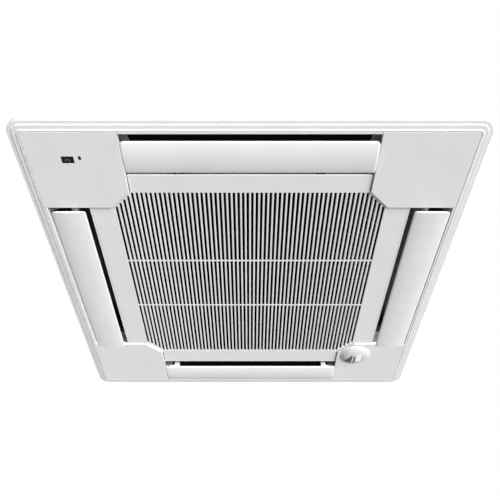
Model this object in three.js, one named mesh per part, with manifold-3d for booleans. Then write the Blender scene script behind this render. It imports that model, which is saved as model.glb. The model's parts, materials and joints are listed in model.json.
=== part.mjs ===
// Ceiling cassette air conditioner: a square panel under the ceiling and the unit above it.
// Millimetres, +Z up. The origin is the middle of the panel, in the plane of the ceiling.
// Front is -Y, right is +X. A slot's own frame has t along X and r outwards along -Y, and is
// turned about Z to the four sides. A corner's own frame is the +X +Y corner, turned likewise.
import * as THREE from "three";
import { mergeVertices } from "three/addons/utils/BufferGeometryUtils.js";
import Module from "manifold-3d";

const wasm = await Module();
wasm.setup();

// ---------------------------------------------------------------- driving dimensions
const GAP = 0.3; // between pieces that rest on or beside each other
const OVERRUN = 1; // how far a cutting shape runs past the face that it cuts
const BITE = 0.5; // how far joined shapes run into each other
const ARC_STEPS = 6; // flats in a quarter turn of a round corner

// Panel frame
const PANEL_HALF = 475;
const PANEL_CORNER_RADIUS = 30;
const LIP_DROP = 10; // ceiling to the panel's outer lip
const LIP_BEVEL = 1.5;
const STEP_DROP = 2.5; // each of the two steps of the rim
const STEP_SLOPE = 3;
const STEP_ONE_IN = 9;
const STEP_TWO_IN = 19;
const RIM_WIDTH = 22.5;
const RIM_MITRE = 1; // shift that keeps the rim's wall even where its face slopes
const PANEL_WALL = 2.5;
const DECK_DEPTH = 9; // panel face to the deck behind the corner covers
const SEAM = 0.8; // joint between the rim and what it frames
const SLOT_EDGE = 5.5; // strip between the rim's seam and a slot
const SLOT_WIDTH = 92.7;
const SLOT_END_CLEARANCE = 7; // vane end to the slot's end wall
const POCKET_FOOT = 0.7; // grille's face to the foot of the pocket's walls
const END_WALL_FOOT = 2.8; // panel's face to the foot of a slot's end wall
const POCKET_WALL = 2;
const POCKET_CEILING = 12.2; // height of the grille pocket's ceiling
const SEAL_LIP = 3;
const PANEL_NECK = 0.3; // panel to the unit above it
const GASKET_WIDTH = 15;

// Corner covers
const COVER_WALL = 2;
const COVER_CORNER_RADIUS = 7;
const COVER_SEAM = 1;

// Vanes
const VANE_THICKNESS = 3;
const VANE_INNER_GAP = 5.8; // slot's inner edge to the vane
const VANE_OUTER_GAP = 8.9;
const VANE_INNER_DROP = 14; // vane edge below the lip
const VANE_OUTER_DROP = 11;
const VANE_BULGE = 5.5;
const VANE_STEPS = 8;
const PIVOT_IN = 34.5; // vane pivot from the slot's inner edge
const PIVOT_DEPTH = 6.5;
const PIVOT_PIN_RADIUS = 4;
const PIVOT_FIT = 0.3;
const PIVOT_COLLAR_RADIUS = 8.2;
const PIVOT_NECK_RADIUS = 5.8;
const PIVOT_COLLAR_LENGTH = 14;
const BEARING_FLOOR = 1; // closed end of the plain side's bearing
const ARM_INSET = 24; // vane end to the arm
const ARM_THICKNESS = 14;
const ARM_HEEL = 3; // vane's inner edge to the arm
const ARM_SINK = 2; // fall of the arm's foot across the vane
const ARM_REACH = 14; // pivot to the arm's outer and upper inner corners
const ARM_RISE = 9; // pivot to the arm's top
const ARM_TAPER = 5;
const PIN_SIDES = 12;
const BEARING_SIDES = 8;

// Vane motors
const VANE_MOTOR_RADIUS = 13;
const VANE_MOTOR_LENGTH = 18;
const VANE_MOTOR_OFFSET = 8; // motor's middle above its shaft
const SHAFT_ENGAGEMENT = 8;
const SHAFT_PLAY = 1; // pin's end to the bottom of the motor's socket
const MOTOR_ROOM = 1; // hole in the deck round the motor
const MOTOR_EAR_REACH = 20.5;
const MOTOR_EAR_HEIGHT = 7;
const MOTOR_EAR_THICKNESS = 1.4;

// Air ducts behind the slots
const DUCT_LEAN = 40.9; // how far the duct's outer wall leans in
const DUCT_WALL = 3.5;
const DUCT_MOUTH_HALF = 242.5;
const DUCT_LID_WIDTH = 54.5;

// Intake grille
const GRILLE_GAP = 0.7;
const GRILLE_STRIP = 52.3; // flat border between the slats and the grille's edge
const GRILLE_PLATE = 2.5;
const GRILLE_CHAMFER_LEG = 40;
const GRILLE_CORNER_BORDER = 4;
const GRILLE_EDGE_CHAMFER = 1.5; // lets the hinged edge swing past the pocket's wall
const SLAT_PITCH = 10;
const SLAT_GAP = 5.3;
const SLAT_DEPTH = 6;
const SLAT_END = 0.8; // end of a gap to the slats' outline
const CROSS_BAR_AT = 85.6;
const CROSS_BAR_WIDTH = 6.5;
const UPSTAND_IN = 1.5; // slats' outline to the upstand
const UPSTAND_WALL = 2;
const UPSTAND_HEIGHT = 12;

// Grille hinge and catches
const HINGE_IN = 15.5; // hinge axis from the pocket's wall
const HINGE_HEIGHT = 4.5; // hinge axis above the grille's face
const HINGE_AT = 150;
const HINGE_PIN_RADIUS = 1.5;
const HOOK_WALL = 1.5;
const HOOK_WIDTH = 12;
const HOOK_ARM = 4;
const HOOK_ARM_SHIFT = 0.5; // arm's middle from the eye's, away from the eye's mouth
const HINGE_EAR = 4;
const HINGE_EAR_HALF = 4;
const HINGE_EAR_TOP = 3; // pin's middle to the ear's top
const HINGE_PLAY = 2; // hook's side to the ear
const CATCH_AT = 150;
const CATCH_IN = 21.5;
const PLUNGER_RADIUS = 3;
const PLUNGER_TRAVEL = 2;
const CATCH_LENGTH = 22;
const CATCH_WIDTH = 14;
const CATCH_ROOF = 1.5;
const CATCH_STANDOFF = 2.5; // striker to the catch's housing
const STRIKER_HEIGHT = 9;
const STRIKER_HALF = 5;

// Filter
const FILTER_RIM = 12;
const FILTER_THICKNESS = 5;
const FILTER_BAYS = 5;
const FILTER_RIB = 4;
const NET_THICKNESS = 0.6;

// Receiver window, lamp and sensor
const WINDOW_AT = [369.4, 386.6];
const WINDOW_SIZE = [24.8, 16];
const WINDOW_FLANGE = 3;
const WINDOW_FLANGE_THICKNESS = 2;
const LAMP_AT = [344.3, 391];
const LAMP_RADIUS = 2.4;
const LAMP_FLANGE = 1.5;
const LAMP_DEPTH = 3; // cover's back to the lamp's back
const SENSOR_RING_RADIUS = 43;
const SENSOR_MARGIN = 1;
const SENSOR_SIDES = 32;
const SENSOR_RING_HEIGHT = 2.5;
const SENSOR_RING_BEVEL = 1.5;
const SENSOR_RING_BORE = 24;
const SENSOR_SLEEVE_RADIUS = 34;
const SENSOR_SLEEVE_WALL = 2;
const SENSOR_HEAD_RADIUS = 41;
const SENSOR_HEAD_HEIGHT = 9.5;
const SENSOR_NECK_RADIUS = 12;
const SENSOR_NECK_ROOM = 2; // neck's top to the deck
const SENSOR_NOTCH_DEPTH = 5.7;
const SENSOR_NOTCH = [[0, 4], [-26, 44], [8, 50]]; // wedge that the sensor looks out of, from its axis
const DOME_STEPS = 4;
const SENSOR_STEM_RADIUS = 3;
const SENSOR_STEM_ROOM = 2; // hole in the deck round the stem
const SENSOR_MOTOR_RADIUS = 14;
const SENSOR_MOTOR_HEIGHT = 15;

// Panel screws
const SCREW_IN = 101.7; // corner cover's outer edge to a screw
const SCREW_RADIUS = 2.5;
const SCREW_HEAD_RADIUS = 6.5;
const SCREW_HEAD_HEIGHT = 4;
const SCREW_LENGTH = 50;
const SCREW_FIT = 0.5;
const SCREW_BOSS_WALL = 4;
const SCREW_END_ROOM = 2;

// Unit above the ceiling
const UNIT_BOTTOM = 18;
const UNIT_HEIGHT = 256;
const SHEET = 1.2;
const UNIT_EDGE = 14; // outlet to the drain pan's edge
const CORNER_CUT = 110; // leg of the cut-off corners
const PAN_HEIGHT = 38;
const PAN_FLOOR = 12;
const PAN_INNER_WALL = 5;
const PAN_OUTER_WALL = 7;
const TROUGH_WIDTH = 42;
const LINER_THICKNESS = 12;

// Heat exchanger and pipes
const COIL_THICKNESS = 38;
const COIL_HEIGHT = 225;
const COIL_CORNER_RADIUS = 60;
const COIL_GAP = 93; // open corner, from the coil's outer face
const GAS_PIPE_RADIUS = 8;
const LIQUID_PIPE_RADIUS = 5;
const GAS_HEADER_RADIUS = 10;
const LIQUID_HEADER_RADIUS = 6;
const HEADER_STANDOFF = 15;
const HEADER_FOOT = 30; // coil's bottom to the headers' bottom
const HEADER_HEAD = 8; // headers' top to the coil's top
const HEADER_STUBS = 5;
const STUB_INSET = 12; // end of a header to its last stub
const GAS_PIPE_HEIGHT = 200;
const LIQUID_PIPE_HEIGHT = 236;
const PIPE_BEND = 30;
const PIPE_STEPS = 14;
const PIPE_OUT = 52; // how far the pipes stand out of the cabinet
const PIPE_SPACING = 25.2; // liquid pipe to gas pipe, along the wall
const NUT_LENGTH = 20;
const NUT_WALL = 6;
const NUT_SETBACK = 2; // pipe's end to the nut
const DRAIN_HEIGHT = 160;
const DRAIN_IN = 24.8; // coil's end to the drain pipe, along the wall
const DRAIN_BEND = 15;
const DRAIN_PIPE_RADIUS = 9;
const DRAIN_SOCKET_RADIUS = 15;
const DRAIN_BORE_RADIUS = 12;
const DRAIN_SOCKET_LENGTH = 40;
const DRAIN_OUT = 46;
const SOCKET_SIDES = 16;

// Bell mouth and fan
const BELL_RISE = 32; // unit's bottom to the bell mouth's plate
const BELL_PLATE = 2;
const BELL_MOUTH_RADIUS = 238;
const BELL_THROAT_RADIUS = 186;
const BELL_HEIGHT = 44;
const BELL_SIDES = 28;
const BELL_STEPS = 4;
const FAN_RADIUS = 232;
const FAN_BLADES = 7;
const FAN_INLET_CLEARANCE = 4;
const FAN_BOTTOM = 90;
const FAN_TOP = 215;
const FAN_WALL = 3;
const FAN_SIDES = 32;
const SHROUD_LIP = 4; // shroud's flat inner edge
const SHROUD_FLARE = 12; // inner part of the shroud, across and up
const SHROUD_RISE = 22; // inlet edge to the shroud's rim
const BLADE_START_RADIUS = 132;
const BLADE_THICKNESS = 9;
const BLADE_INSET = 2; // blade's tip to the fan's rim
const BLADE_LEAN = 0.62; // radians that a blade falls back over its length
const BLADE_STEPS = 6;
const HUB_RADIUS = 22;
const HUB_BOTTOM = 158;
const HUB_HEIGHT = 17;
const HUB_FLARE = 6;
const CONE_WALL = 4;
const CONE_ROUND = 16; // height of the cone's bend into the back plate
const MOTOR_RADIUS = 68;
const MOTOR_SIDES = 24;
const MOTOR_CLEARANCE = 9;
const MOTOR_BOTTOM = 206;
const MOTOR_HEIGHT = 48;
const MOTOR_EDGE = 6; // bevel of the motor's lower edge
const MOTOR_NOSE_RADIUS = 22;
const MOTOR_FLANGE = 16;
const MOTOR_FLANGE_THICKNESS = 4;
const MOTOR_FOOT_OUT = 8; // motor's side to the middle of a foot
const MOTOR_FOOT_RADIUS = 7;
const SHAFT_RADIUS = 6;
const FAN_NUT_RADIUS = 11;
const FAN_NUT_HEIGHT = 8;
const SHAFT_END = 2; // fan nut to the shaft's end

// Control box
const CONTROL_LENGTH = 380;
const CONTROL_WIDTH = 56;
const CONTROL_DEPTH = 28;
const CONTROL_WALL = 2;
const CONTROL_OFFSET = 1.3; // drain pan's opening to the box
const BOARD_THICKNESS = 1.6;
const BOARD_EDGE = 2;
const BOARD_PARTS_AT = [-140, -80, -20, 40, 110];
const BOARD_PART_HALF = 11;
const BOARD_PART_HEIGHT = 8;
const BOARD_PART_GROWTH = 2; // each block is that much longer and taller than the one before

// Drain pump and float
const PUMP_FROM_COIL = 68.2; // coil's ends to the pump's middle
const PUMP_RADIUS = 24;
const PUMP_BASE = 46; // unit's bottom to the pump's body
const PUMP_BODY = 62;
const PUMP_LEG_RADIUS = 9;
const PUMP_LEG_SHIFT = 4;
const SUMP_CLEARANCE = 3; // trough's floor to the pump's leg and the float's stem
const FLOAT_FROM_HEADER = 28;
const FLOAT_STOP = 3; // width and thickness of the stop under the float
const FLOAT_ARM_HALF = 4;
const FLOAT_ARM_RISE = 4; // pump's body to the arm's bottom
const FLOAT_ARM_HEIGHT = 6;
const FLOAT_RADIUS = 9;
const FLOAT_STEM_RADIUS = 3;
const FLOAT_HEIGHT = 12;
const FLOAT_FIT = 0.45;

// Hanger brackets
const BRACKET_HALF_WIDTH = 34;
const BRACKET_HEIGHT = 60;
const BRACKET_BASE = 180;
const BRACKET_SHEET = 3;
const BRACKET_REACH = 42;
const GUSSET_INSET = 8; // edge of the ear and of the plate to the gusset's corner
const ROD_SLOT_OUT = 2; // ear's middle to the slot's middle
const ROD_SLOT_WIDTH = 12;
const ROD_SLOT_LENGTH = 24;

// ---------------------------------------------------------------- sizes that follow
const SQRT2 = Math.SQRT2;
const FACE_Z = -(LIP_DROP + 2 * STEP_DROP);
const LIP_Z = -LIP_DROP;
const RIM_INNER = PANEL_HALF - RIM_WIDTH;
const COVER_REACH = RIM_INNER - SEAM;
const SCREW_AT = COVER_REACH - SCREW_IN;
const DECK_Z = FACE_Z + DECK_DEPTH;
const DECK_TOP = DECK_Z + PANEL_WALL;
const SLOT_OUTER = COVER_REACH - SLOT_EDGE;
const SLOT_INNER = SLOT_OUTER - SLOT_WIDTH;
const POCKET_REACH = SLOT_INNER - POCKET_WALL;
const GRILLE_REACH = POCKET_REACH - GRILLE_GAP;
const SLATS_HALF = GRILLE_REACH - GRILLE_STRIP;
const GRILLE_ARM = SLATS_HALF - GRILLE_CHAMFER_LEG;
const SLATS_SUM = SLATS_HALF + GRILLE_ARM; // |x| + |y| along the cut-off corner
const GRILLE_SUM = SLATS_SUM + GRILLE_CORNER_BORDER;
const COVER_ARM = GRILLE_ARM + COVER_SEAM;
const COVER_SUM = GRILLE_SUM + COVER_SEAM * SQRT2;
const WALL_ARM = COVER_ARM + COVER_WALL + GAP;
const WALL_SUM = COVER_SUM + (COVER_WALL + GAP) * SQRT2;
const VANE_HALF = WALL_ARM - SLOT_END_CLEARANCE;
const UNIT_NECK_Z = UNIT_BOTTOM - PANEL_NECK;

const PIVOT_R = SLOT_INNER + PIVOT_IN;
const PIVOT_Z = -PIVOT_DEPTH;
const SCREW_HOLE_RADIUS = SCREW_RADIUS + SCREW_FIT;
const VANE_INNER = { x: SLOT_INNER + VANE_INNER_GAP, y: LIP_Z - VANE_INNER_DROP };
const VANE_OUTER = { x: SLOT_OUTER - VANE_OUTER_GAP, y: LIP_Z - VANE_OUTER_DROP };

const DUCT_TOP_OUTER = SLOT_OUTER - GAP - DUCT_LEAN;
const OUTLET_OUTER = DUCT_TOP_OUTER - GAP * 2;
const OUTLET_INNER = SLOT_INNER - POCKET_WALL + GAP;
const PAN_HALF = OUTLET_OUTER + UNIT_EDGE;
const UNIT_HALF = PAN_HALF + GAP + SHEET;
const UNIT_SUM = 2 * UNIT_HALF - CORNER_CUT;
const UNIT_TOP = UNIT_BOTTOM + UNIT_HEIGHT;
const PAN_TOP = UNIT_BOTTOM + PAN_HEIGHT;
const TROUGH_OUTER = OUTLET_INNER - PAN_OUTER_WALL;
const TROUGH_INNER = TROUGH_OUTER - TROUGH_WIDTH;
const PAN_OPENING = TROUGH_INNER - PAN_INNER_WALL;
const OPENING_RADIUS = COIL_CORNER_RADIUS - COIL_THICKNESS;
const TROUGH_Z = UNIT_BOTTOM + PAN_FLOOR;
const COIL_OUTER = TROUGH_OUTER - (TROUGH_WIDTH - COIL_THICKNESS) / 2;
const COIL_INNER = COIL_OUTER - COIL_THICKNESS;
const BELL_Z = UNIT_BOTTOM + BELL_RISE;
const FAN_INLET = BELL_THROAT_RADIUS + BELL_PLATE + FAN_INLET_CLEARANCE;
const SENSOR_AT = (COVER_SUM + (SENSOR_RING_RADIUS + SENSOR_MARGIN) * SQRT2) / 2;
const HINGE_Y = POCKET_REACH - HINGE_IN;
const HINGE_Z = LIP_Z + HINGE_HEIGHT;
const CATCH_Y = -(POCKET_REACH - CATCH_IN);

// ---------------------------------------------------------------- shape helpers

/** A closed geometry as a solid that can be joined and cut. */
function solid(geometry) {
  const plain = geometry.index ? geometry.toNonIndexed() : geometry.clone();
  plain.deleteAttribute("normal");
  plain.deleteAttribute("uv");
  const merged = mergeVertices(plain, 1e-4);
  const triVerts = new Uint32Array(merged.index.array);
  const vertProperties = merged.attributes.position.array;
  return new wasm.Manifold(new wasm.Mesh({ numProp: 3, vertProperties, triVerts }));
}

/** A solid back as a geometry that a mesh can show. */
function geometryOf(piece) {
  const mesh = piece.getMesh();
  const geometry = new THREE.BufferGeometry();
  geometry.setAttribute("position", new THREE.BufferAttribute(mesh.vertProperties, 3));
  geometry.setIndex(new THREE.BufferAttribute(mesh.triVerts, 1));
  const flat = geometry.toNonIndexed();
  flat.computeVertexNormals();
  return flat;
}

/** Solids joined into one. */
function join(...pieces) {
  return pieces.reduce((whole, piece) => whole.add(piece));
}

/** A solid with others cut out of it. */
function cut(piece, ...tools) {
  return tools.reduce((rest, tool) => rest.subtract(tool), piece);
}

/** A block between two corners. */
function block(x0, x1, y0, y1, z0, z1) {
  const geometry = new THREE.BoxGeometry(x1 - x0, y1 - y0, z1 - z0);
  return solid(geometry.translate((x0 + x1) / 2, (y0 + y1) / 2, (z0 + z1) / 2));
}

/** A closed outline through points. */
function outline(points) {
  return new THREE.Shape(points.map(([x, y]) => new THREE.Vector2(x, y)));
}

/** An outline in the XY plane raised from z0 to z1. */
function prism(shape, z0, z1) {
  const options = { depth: z1 - z0, bevelEnabled: false, curveSegments: ARC_STEPS / 2 };
  return solid(new THREE.ExtrudeGeometry(shape, options).translate(0, 0, z0));
}

/** A section drawn in a slot's (r, z), run along the slot from t0 to t1. */
function alongSlot(shape, t0, t1) {
  const options = { depth: t1 - t0, bevelEnabled: false, curveSegments: 8 };
  const geometry = new THREE.ExtrudeGeometry(shape, options);
  const outwards = new THREE.Vector3(0, -1, 0);
  const up = new THREE.Vector3(0, 0, 1);
  const back = new THREE.Vector3(-1, 0, 0);
  geometry.applyMatrix4(new THREE.Matrix4().makeBasis(outwards, up, back));
  return solid(geometry.translate(t1, 0, 0));
}

/** A round bar standing along Z. */
function post(x, y, radius, z0, z1, sides = 16) {
  const geometry = new THREE.CylinderGeometry(radius, radius, z1 - z0, sides);
  geometry.rotateX(Math.PI / 2);
  return solid(geometry.translate(x, y, (z0 + z1) / 2));
}

/** A round bar lying along X. */
function rod(y, z, radius, x0, x1, sides = PIN_SIDES) {
  const geometry = new THREE.CylinderGeometry(radius, radius, x1 - x0, sides);
  geometry.rotateZ(Math.PI / 2);
  return solid(geometry.translate((x0 + x1) / 2, y, z));
}

/** A profile of [r, z] points turned about Z; it runs anticlockwise and starts on the axis or closes. */
function turned(profile, segments, x = 0, y = 0) {
  const points = profile.map(([r, z]) => new THREE.Vector2(r, z));
  const geometry = new THREE.LatheGeometry(points, segments);
  return solid(geometry.rotateX(Math.PI / 2).translate(x, y, 0));
}

/** A tube of radius along a smooth path of points. */
function pipe(points, radius, steps, sides = 8) {
  const path = new THREE.CatmullRomCurve3(points.map((p) => new THREE.Vector3(...p)), false, "centripetal");
  const section = new THREE.Shape().absarc(0, 0, radius, 0, 2 * Math.PI);
  const options = { steps, extrudePath: path, curveSegments: sides / 2 };
  return solid(new THREE.ExtrudeGeometry(section, options));
}

/** A square with round corners, centred on the origin. */
function roundedSquare(half, radius) {
  const c = half - radius;
  const shape = new THREE.Shape();
  shape.absarc(c, c, radius, 0, Math.PI / 2);
  shape.absarc(-c, c, radius, Math.PI / 2, Math.PI);
  shape.absarc(-c, -c, radius, Math.PI, 1.5 * Math.PI);
  shape.absarc(c, -c, radius, 1.5 * Math.PI, 2 * Math.PI);
  shape.closePath();
  return shape;
}

/** A square whose corners are cut off where |x| + |y| passes a sum. */
function cutSquare(half, sum) {
  const a = sum - half;
  const right = [[half, -a], [half, a]];
  const back = [[a, half], [-a, half]];
  const mirror = ([x, y]) => [-x, -y];
  return outline([...right, ...back, ...right.map(mirror), ...back.map(mirror)]);
}

/** The grille's outline: a cross of arm half-width a and reach, its inner corners cut off at a sum. */
function crossOutline(arm, reach, sum) {
  const k = sum - arm;
  const quarter = [[reach, arm], [k, arm], [arm, k], [arm, reach]];
  const points = [0, 1, 2, 3].flatMap((turn) =>
    quarter.map(([x, y]) => [[x, y], [-y, x], [-x, -y], [y, -x]][turn]),
  );
  return outline(points);
}

/** A closed ring swept round the panel's edge: a profile of [distance from the middle, z] points. */
function rimSweep(profile, cornerRadius, arcSteps = ARC_STEPS) {
  const centre = PANEL_HALF - cornerRadius;
  const corners = [[1, 1], [-1, 1], [-1, -1], [1, -1]];
  const loops = corners.flatMap(([sx, sy], corner) =>
    Array.from({ length: arcSteps + 1 }, (_, step) => {
      const angle = ((corner + step / arcSteps) * Math.PI) / 2;
      return profile.map(([r, z]) => [
        sx * centre + (r - centre) * Math.cos(angle),
        sy * centre + (r - centre) * Math.sin(angle),
        z,
      ]);
    }),
  );
  const count = profile.length;
  const index = [];
  for (let i = 0; i < loops.length; i++) {
    const next = (i + 1) % loops.length;
    for (let j = 0; j < count; j++) {
      const k = (j + 1) % count;
      index.push(i * count + j, next * count + j, next * count + k);
      index.push(i * count + j, next * count + k, i * count + k);
    }
  }
  const geometry = new THREE.BufferGeometry();
  geometry.setAttribute("position", new THREE.Float32BufferAttribute(loops.flat(2), 3));
  geometry.setIndex(index);
  return solid(geometry);
}

/** A solid turned about Z by quarter turns. */
function quarterTurned(piece, turns) {
  const geometry = geometryOf(piece);
  return solid(geometry.rotateZ((turns * Math.PI) / 2));
}

/** Four copies of a solid, one for each side or corner. */
function onFourSides(piece) {
  return [0, 1, 2, 3].map((turns) => quarterTurned(piece, turns));
}

// ---------------------------------------------------------------- materials
const paint = (color, roughness = 0.45, metalness = 0) =>
  new THREE.MeshStandardMaterial({ color, roughness, metalness });
const whitePlastic = paint(0xe6e6e4);
const vanePlastic = paint(0xe9e9e8, 0.38);
const blackFoam = paint(0x151515, 0.9);
const darkWindow = paint(0x0b120c, 0.15);
const lampPlastic = paint(0x2b3a2c, 0.3);
const greyPlastic = paint(0x9a9c9e, 0.5);
const meshNet = paint(0x5c6166, 0.8);
const zincSteel = paint(0xb4b8bb, 0.4, 0.9);
const finAluminium = paint(0xc9ccd0, 0.35, 0.9);
const copper = paint(0xb8693c, 0.3, 1);
const brass = paint(0xc9a352, 0.3, 1);
const motorBlack = paint(0x24262a, 0.5, 0.3);
const whiteFoam = paint(0xe8e8e2, 0.9);
const fanPlastic = paint(0xd4d6d6, 0.5);
const boardGreen = paint(0x1f5a36, 0.6);

const unit = new THREE.Group();

/** Adds one named piece to a group. */
function add(name, piece, material, group = unit) {
  const mesh = new THREE.Mesh(piece.getMesh ? geometryOf(piece) : piece, material);
  mesh.name = name;
  group.add(mesh);
  return mesh;
}

const SIDES = ["front", "right", "back", "left"];
const CORNERS = ["back_right", "back_left", "front_left", "front_right"];

/** A group turned about Z by quarter turns, for one side or corner. */
function turnedGroup(turns) {
  const group = new THREE.Group();
  group.rotation.z = (turns * Math.PI) / 2;
  unit.add(group);
  return group;
}

// ---------------------------------------------------------------- panel frame

/** The stepped rim, hollow from above, with the seam's wall on its inside. */
function rim() {
  const stepOne = PANEL_HALF - STEP_ONE_IN;
  const stepTwo = PANEL_HALF - STEP_TWO_IN;
  const half = STEP_SLOPE / 2;
  const wall = PANEL_WALL;
  const middleZ = LIP_Z - STEP_DROP;
  const profile = [
    [PANEL_HALF, 0],
    [PANEL_HALF - wall, 0],
    [PANEL_HALF - wall, LIP_Z + wall],
    [stepOne + half - RIM_MITRE, LIP_Z + wall],
    [stepOne - half - RIM_MITRE, middleZ + wall],
    [stepTwo + half - RIM_MITRE, middleZ + wall],
    [RIM_INNER + wall, FACE_Z + wall],
    [RIM_INNER + wall, DECK_TOP],
    [RIM_INNER, DECK_TOP],
    [RIM_INNER, FACE_Z],
    [stepTwo - half, FACE_Z],
    [stepTwo + half, middleZ],
    [stepOne - half, middleZ],
    [stepOne + half, LIP_Z],
    [PANEL_HALF - LIP_BEVEL, LIP_Z],
    [PANEL_HALF, LIP_Z + LIP_BEVEL],
  ];
  return rimSweep(profile, PANEL_CORNER_RADIUS);
}

/** The line that a duct's outer wall follows: [r, z] at the slot and at the unit. */
const ductLine = [
  [SLOT_OUTER - GAP, DECK_Z + GAP],
  [DUCT_TOP_OUTER, UNIT_NECK_Z],
];

/** The section of a duct's leaning outer wall. */
function ductWallSection() {
  const [[r0, z0], [r1, z1]] = ductLine;
  return outline([[r0, z0], [r1, z1], [r1 - DUCT_WALL, z1], [r0 - DUCT_WALL, z0]]);
}

/** End wall of a slot with its lid, the duct's solid end and the vane's bearing, at +t. */
function slotEnd(motorSide) {
  const t = WALL_ARM;
  const foot = FACE_Z + END_WALL_FOOT;
  const inner = -SLOT_INNER + BITE;
  const wall = block(t, t + PANEL_WALL, -SLOT_OUTER - PANEL_WALL, inner, foot, UNIT_NECK_Z);
  const lidOuter = SLOT_INNER + DUCT_LID_WIDTH;
  const lid = block(DUCT_MOUTH_HALF, t + BITE, -lidOuter, inner, UNIT_NECK_Z - PANEL_WALL, UNIT_NECK_Z);
  const end = alongSlot(ductWallSection(), DUCT_MOUTH_HALF, t + BITE);
  const boreStart = COVER_ARM - PIVOT_COLLAR_LENGTH;
  const neck = rod(-PIVOT_R, PIVOT_Z, PIVOT_NECK_RADIUS, boreStart + BITE, t + BITE, BEARING_SIDES);
  const collar = rod(-PIVOT_R, PIVOT_Z, PIVOT_COLLAR_RADIUS, boreStart, COVER_ARM - GAP * 2, BEARING_SIDES);
  const boreEnd = motorSide ? t + PANEL_WALL + OVERRUN : t + PANEL_WALL - BEARING_FLOOR;
  const bore = rod(-PIVOT_R, PIVOT_Z, PIVOT_PIN_RADIUS + PIVOT_FIT, boreStart - OVERRUN, boreEnd);
  return cut(join(wall, lid, end, neck, collar), bore);
}

/** A solid mirrored across X = 0. */
function mirroredX(piece) {
  const geometry = geometryOf(piece);
  const position = geometry.attributes.position;
  const mirrored = new Float32Array(position.count * 3);
  for (let i = 0; i < position.count; i++) {
    const from = i - (i % 3) + (2 - (i % 3)); // each triangle's corners are taken the other way round
    mirrored[3 * i] = -position.getX(from);
    mirrored[3 * i + 1] = position.getY(from);
    mirrored[3 * i + 2] = position.getZ(from);
  }
  const out = new THREE.BufferGeometry();
  out.setAttribute("position", new THREE.BufferAttribute(mirrored, 3));
  return solid(out);
}

/** A hook of the grille's hinge: an arm from the pocket's ceiling with an open eye for the pin. */
function hingeHook(x) {
  const half = HOOK_WIDTH / 2;
  const eye = HINGE_PIN_RADIUS + GAP;
  const armY = HINGE_Y - HOOK_ARM_SHIFT;
  const armTop = POCKET_CEILING + BITE;
  const arm = block(x - half, x + half, armY - HOOK_ARM / 2, armY + HOOK_ARM / 2, HINGE_Z, armTop);
  const ring = rod(HINGE_Y, HINGE_Z, eye + HOOK_WALL, x - half, x + half);
  const sides = [x - half - OVERRUN, x + half + OVERRUN];
  const bore = rod(HINGE_Y, HINGE_Z, eye, ...sides);
  const mouthEnd = HINGE_Y - eye - HOOK_WALL - OVERRUN;
  const mouth = block(...sides, mouthEnd, HINGE_Y, HINGE_Z - eye, HINGE_Z + eye);
  return cut(join(arm, ring), bore, mouth);
}

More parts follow.
